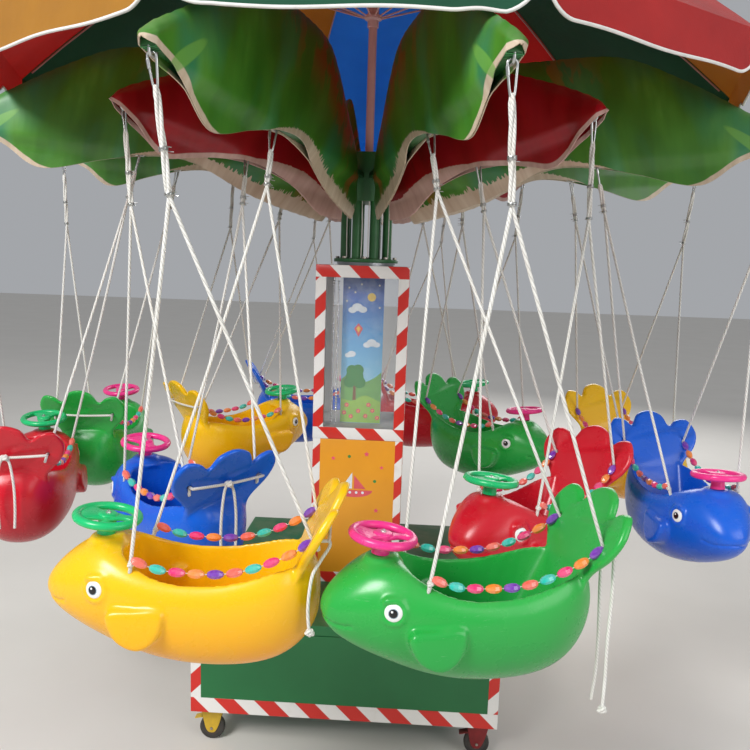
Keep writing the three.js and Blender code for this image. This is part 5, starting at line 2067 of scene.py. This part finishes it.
surface("cabinet_green", (0.012, 0.165, 0.046), second=(0.008, 0.110, 0.031), amount=0.7, scale=2.2,
        dust=0.35, roughness=0.42, grain=(240.0, 9.0, 0.3), bump=(0.12, 0.0010))
cabinet_low, cabinet_high = map(Vector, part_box("base_cabinet"))
cabinet = rounded(box("base_cabinet_look", cabinet_low, cabinet_high), 0.004, 3)
edit(cabinet)
for height in SEAM:
    slice_at((0, 0, height), (0, 0, 1))
mark(cabinet, "FACE", lambda middle, normal: SEAM[0] < middle.z < SEAM[1] and abs(normal.z) < 0.1)
bpy.ops.mesh.inset(thickness=0.0002, depth=-SEAM_DEPTH)
for number in range(1, SIDE_CUTS):
    offset = cabinet_low.x + (cabinet_high.x - cabinet_low.x) * number / SIDE_CUTS
    slice_at((offset, 0, 0), (1, 0, 0))
    slice_at((0, offset, 0), (0, 1, 0))
for height in CUT_HEIGHTS:
    slice_at((0, 0, cabinet_low.z + CABINET_BAND + height), (0, 0, 1))
finish_edit()
for point in cabinet.data.vertices:
    place = point.co
    on_side = max(abs(place.x), abs(place.y)) > cabinet_high.x - 0.0001
    if on_side and cabinet_low.z + CABINET_BAND < place.z < SEAM[0] - 0.01:
        along = place.x if abs(place.y) > abs(place.x) else place.y
        edge = min(1.0, (cabinet_high.x - abs(along)) / DENT_EDGE)
        dent = DENT * edge * (0.5 + 0.5 * math.sin(along * DENT_WAVES[0] + place.z * DENT_WAVES[1]))
        if abs(place.x) > abs(place.y):
            place.x -= math.copysign(dent, place.x)
        else:
            place.y -= math.copysign(dent, place.y)
painted(smooth(cabinet, 30), "cabinet_green")
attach(cabinet, "base")
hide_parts("base_cabinet")

band_top = cabinet_low.z + CABINET_BAND
taped("cabinet_tape_look", cabinet_high.x, cabinet_low.z + 0.002, band_top, band_top, cabinet_high.z - 0.004,
      CABINET_TAPE)
print("cabinet:", len(cabinet.data.polygons), "faces")

# %% [markdown]
# ## Underframe and casters
# Square rails run under the cabinet, and a caster is bolted on at each corner: a plate, a pressed fork with
# a raceway above it, and a rubber wheel on a moulded core, with a brake pedal over the wheel. The tyre is
# turned from a profile: a disc is extruded and scaled through pairs of height and radius.

# %% Caster sizes and paint
CASTER_OFFSET = 0.505
CASTER_AXLE = 0.0478
CASTER_PLATE = (0.096, 0.0768, 0.006)
UNDER_TOP = 0.1417
RAIL_WIDTH = 0.030
FORK_INNER = 0.0160
FORK_WALL = 0.0035
FORK = ((-0.040, 0.128), (-0.026, 0.060), (-0.014, 0.034), (0.004, 0.030), (0.016, 0.038), (0.030, 0.070),
        (0.044, 0.128))
CASTER_TINTS = {
    (-1, -1): "caster_yellow", (1, -1): "caster_red", (-1, 1): "caster_red", (1, 1): "caster_yellow"}
TYRE = ((-0.015, 0.036), (-0.015, 0.042), (-0.012, 0.0465), (-0.006, 0.0477), (0.006, 0.0477),
        (0.012, 0.0465), (0.015, 0.042), (0.015, 0.036))
CORE = ((-0.0155, 0.014), (-0.0155, 0.030), (-0.013, 0.033), (0.013, 0.033), (0.0155, 0.030), (0.0155, 0.014))
RACE = ((0.118, 0.030), (0.121, 0.036), (0.130, 0.036), (UNDER_TOP - CASTER_PLATE[2] + 0.001, 0.030))
PEDAL = ((-0.064, -0.014), (-0.020, -0.016), (-0.020, 0.016), (-0.064, 0.014))
PEDAL_THICKNESS = 0.003
PEDAL_TILT = 14
CASTER_BOLT = 0.0065
AXLE_HALF = 0.0235
AXLE_RADIUS = 0.0055

surface("caster_yellow", (0.72, 0.46, 0.02), second=(0.42, 0.26, 0.03), amount=0.7, scale=18.0, dust=0.4,
        roughness=0.4, bump=(0.25, 0.0008))
surface("caster_red", (0.26, 0.012, 0.014), second=(0.13, 0.008, 0.010), amount=0.7, scale=18.0, dust=0.4,
        roughness=0.42, bump=(0.25, 0.0008))
surface("tyre", (0.022, 0.021, 0.020), second=(0.070, 0.062, 0.052), amount=0.7, scale=30.0, dust=0.5,
        roughness=0.75, bump=(0.4, 0.0008))
surface("frame_steel", (0.050, 0.050, 0.052), second=(0.14, 0.085, 0.055), amount=0.5, scale=16.0, dust=0.4,
        roughness=0.55, bump=(0.3, 0.0008), metallic=0.4)


# %% Caster
def caster(x, y, tint):
    plate_low = UNDER_TOP - CASTER_PLATE[2]
    half_x, half_y = CASTER_PLATE[0] / 2, CASTER_PLATE[1] / 2
    plate_piece = rounded(box("plate", (-half_x, -half_y, plate_low), (half_x, half_y, UNDER_TOP)), 0.002, 2)
    pieces = [painted(plate_piece, tint)]
    for side_x in (-1, 1):
        for side_y in (-1, 1):
            place = Vector((side_x * half_x * 0.76, side_y * half_y * 0.72, plate_low))
            bolt = rod("bolt", raised(place, -0.005), raised(place, 0.001), CASTER_BOLT, 6)
            pieces.append(painted(bolt, "bolt_steel"))
    pieces.append(painted(cylinder_stack("race", RACE, 32), tint))
    for front in (FORK_INNER + FORK_WALL, -FORK_INNER):
        cheek = upright(slab("cheek", through([(*point, 0) for point in FORK], 3), FORK_WALL), front)
        pieces.append(painted(rounded(cheek, 0.0008, 2), tint))
    crown_piece = box("fork_crown", (-0.036, -FORK_INNER - FORK_WALL, 0.112),
                      (0.040, FORK_INNER + FORK_WALL, 0.119))
    pieces.append(painted(rounded(crown_piece, 0.002, 2), tint))
    tyre = rounded(cylinder_stack("tyre", TYRE, 40), 0.0012, 2, 20)
    for piece, finish in ((tyre, "tyre"), (cylinder_stack("core", CORE, 32), "frame_steel")):
        pieces.append(painted(upright(piece, 0, z=CASTER_AXLE), finish))
    axle = rod("axle", (0, -AXLE_HALF, CASTER_AXLE), (0, AXLE_HALF, CASTER_AXLE), AXLE_RADIUS, 6)
    pieces.append(painted(axle, "bolt_steel"))
    pedal = slab("pedal", PEDAL, PEDAL_THICKNESS)
    turned(pedal, Matrix.Translation((-0.004, 0, 0.096)) @ turn(-PEDAL_TILT, "Y"))
    pieces.append(painted(rounded(pedal, 0.001, 2), tint))
    return turned(joined("caster", pieces), Matrix.Translation((x, y, 0)))


# %% Rails and four casters
reach = CASTER_OFFSET + RAIL_WIDTH / 2
short, rail_foot = reach - RAIL_WIDTH, UNDER_TOP - RAIL_WIDTH
under = []
for side in (-1, 1):
    near, far = side * CASTER_OFFSET - RAIL_WIDTH / 2, side * CASTER_OFFSET + RAIL_WIDTH / 2
    under.append(box("rail", (-reach, near, rail_foot), (reach, far, UNDER_TOP)))
    under.append(box("rail", (near, -short, rail_foot), (far, short, UNDER_TOP)))
for piece in under:
    painted(rounded(piece, 0.003, 3), "frame_steel")
for (side_x, side_y), tint in CASTER_TINTS.items():
    under.append(caster(side_x * CASTER_OFFSET, side_y * CASTER_OFFSET, tint))
under = smooth(joined("underframe_look", under), 35)
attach(under, "base")
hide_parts("underframe_and_casters")
print("underframe:", len(under.data.polygons), "faces")

# %% Floor and lights
FLOOR_SIZE = 60.0
FLOOR_DROP = 0.001
SKY_STRENGTH = 0.40
LIGHTS = (
    ("key_light", (-3.2, -5.2, 5.4), 430.0, 2.4),
    ("fill_light", (4.8, -4.2, 2.6), 110.0, 3.5),
    ("back_light", (2.5, 5.5, 4.2), 190.0, 4.0),
)
LIGHT_AIM = Vector((0, 0, 1.2))

bpy.ops.mesh.primitive_plane_add(size=FLOOR_SIZE, location=(0, 0, -FLOOR_DROP))
floor = added("floor")
shader, where = new_material("floor_finish")
pale = use_group("mottle", where, Scale=1.4, Colour=(0.74, 0.71, 0.66, 1.0), Second=(0.69, 0.66, 0.61, 1.0),
                 Amount=0.6)
set_shader(shader, Base_Color=pale["Colour"], Roughness=0.9)
painted(floor, "floor_finish")

for name, place, power, size in LIGHTS:
    bpy.ops.object.light_add(type="AREA", location=place)
    light = bpy.context.object
    light.name = name
    light.data.energy = power
    light.data.size = size
    light.rotation_euler = (LIGHT_AIM - Vector(place)).to_track_quat("-Z", "Y").to_euler()

bpy.context.scene.view_settings.view_transform = "Standard"
world = bpy.data.worlds.new("sky")
world.use_nodes = True
set_shader(world.node_tree.nodes["Background"], Color=(0.92, 0.95, 1.0, 1.0), Strength=SKY_STRENGTH)
bpy.context.scene.world = world
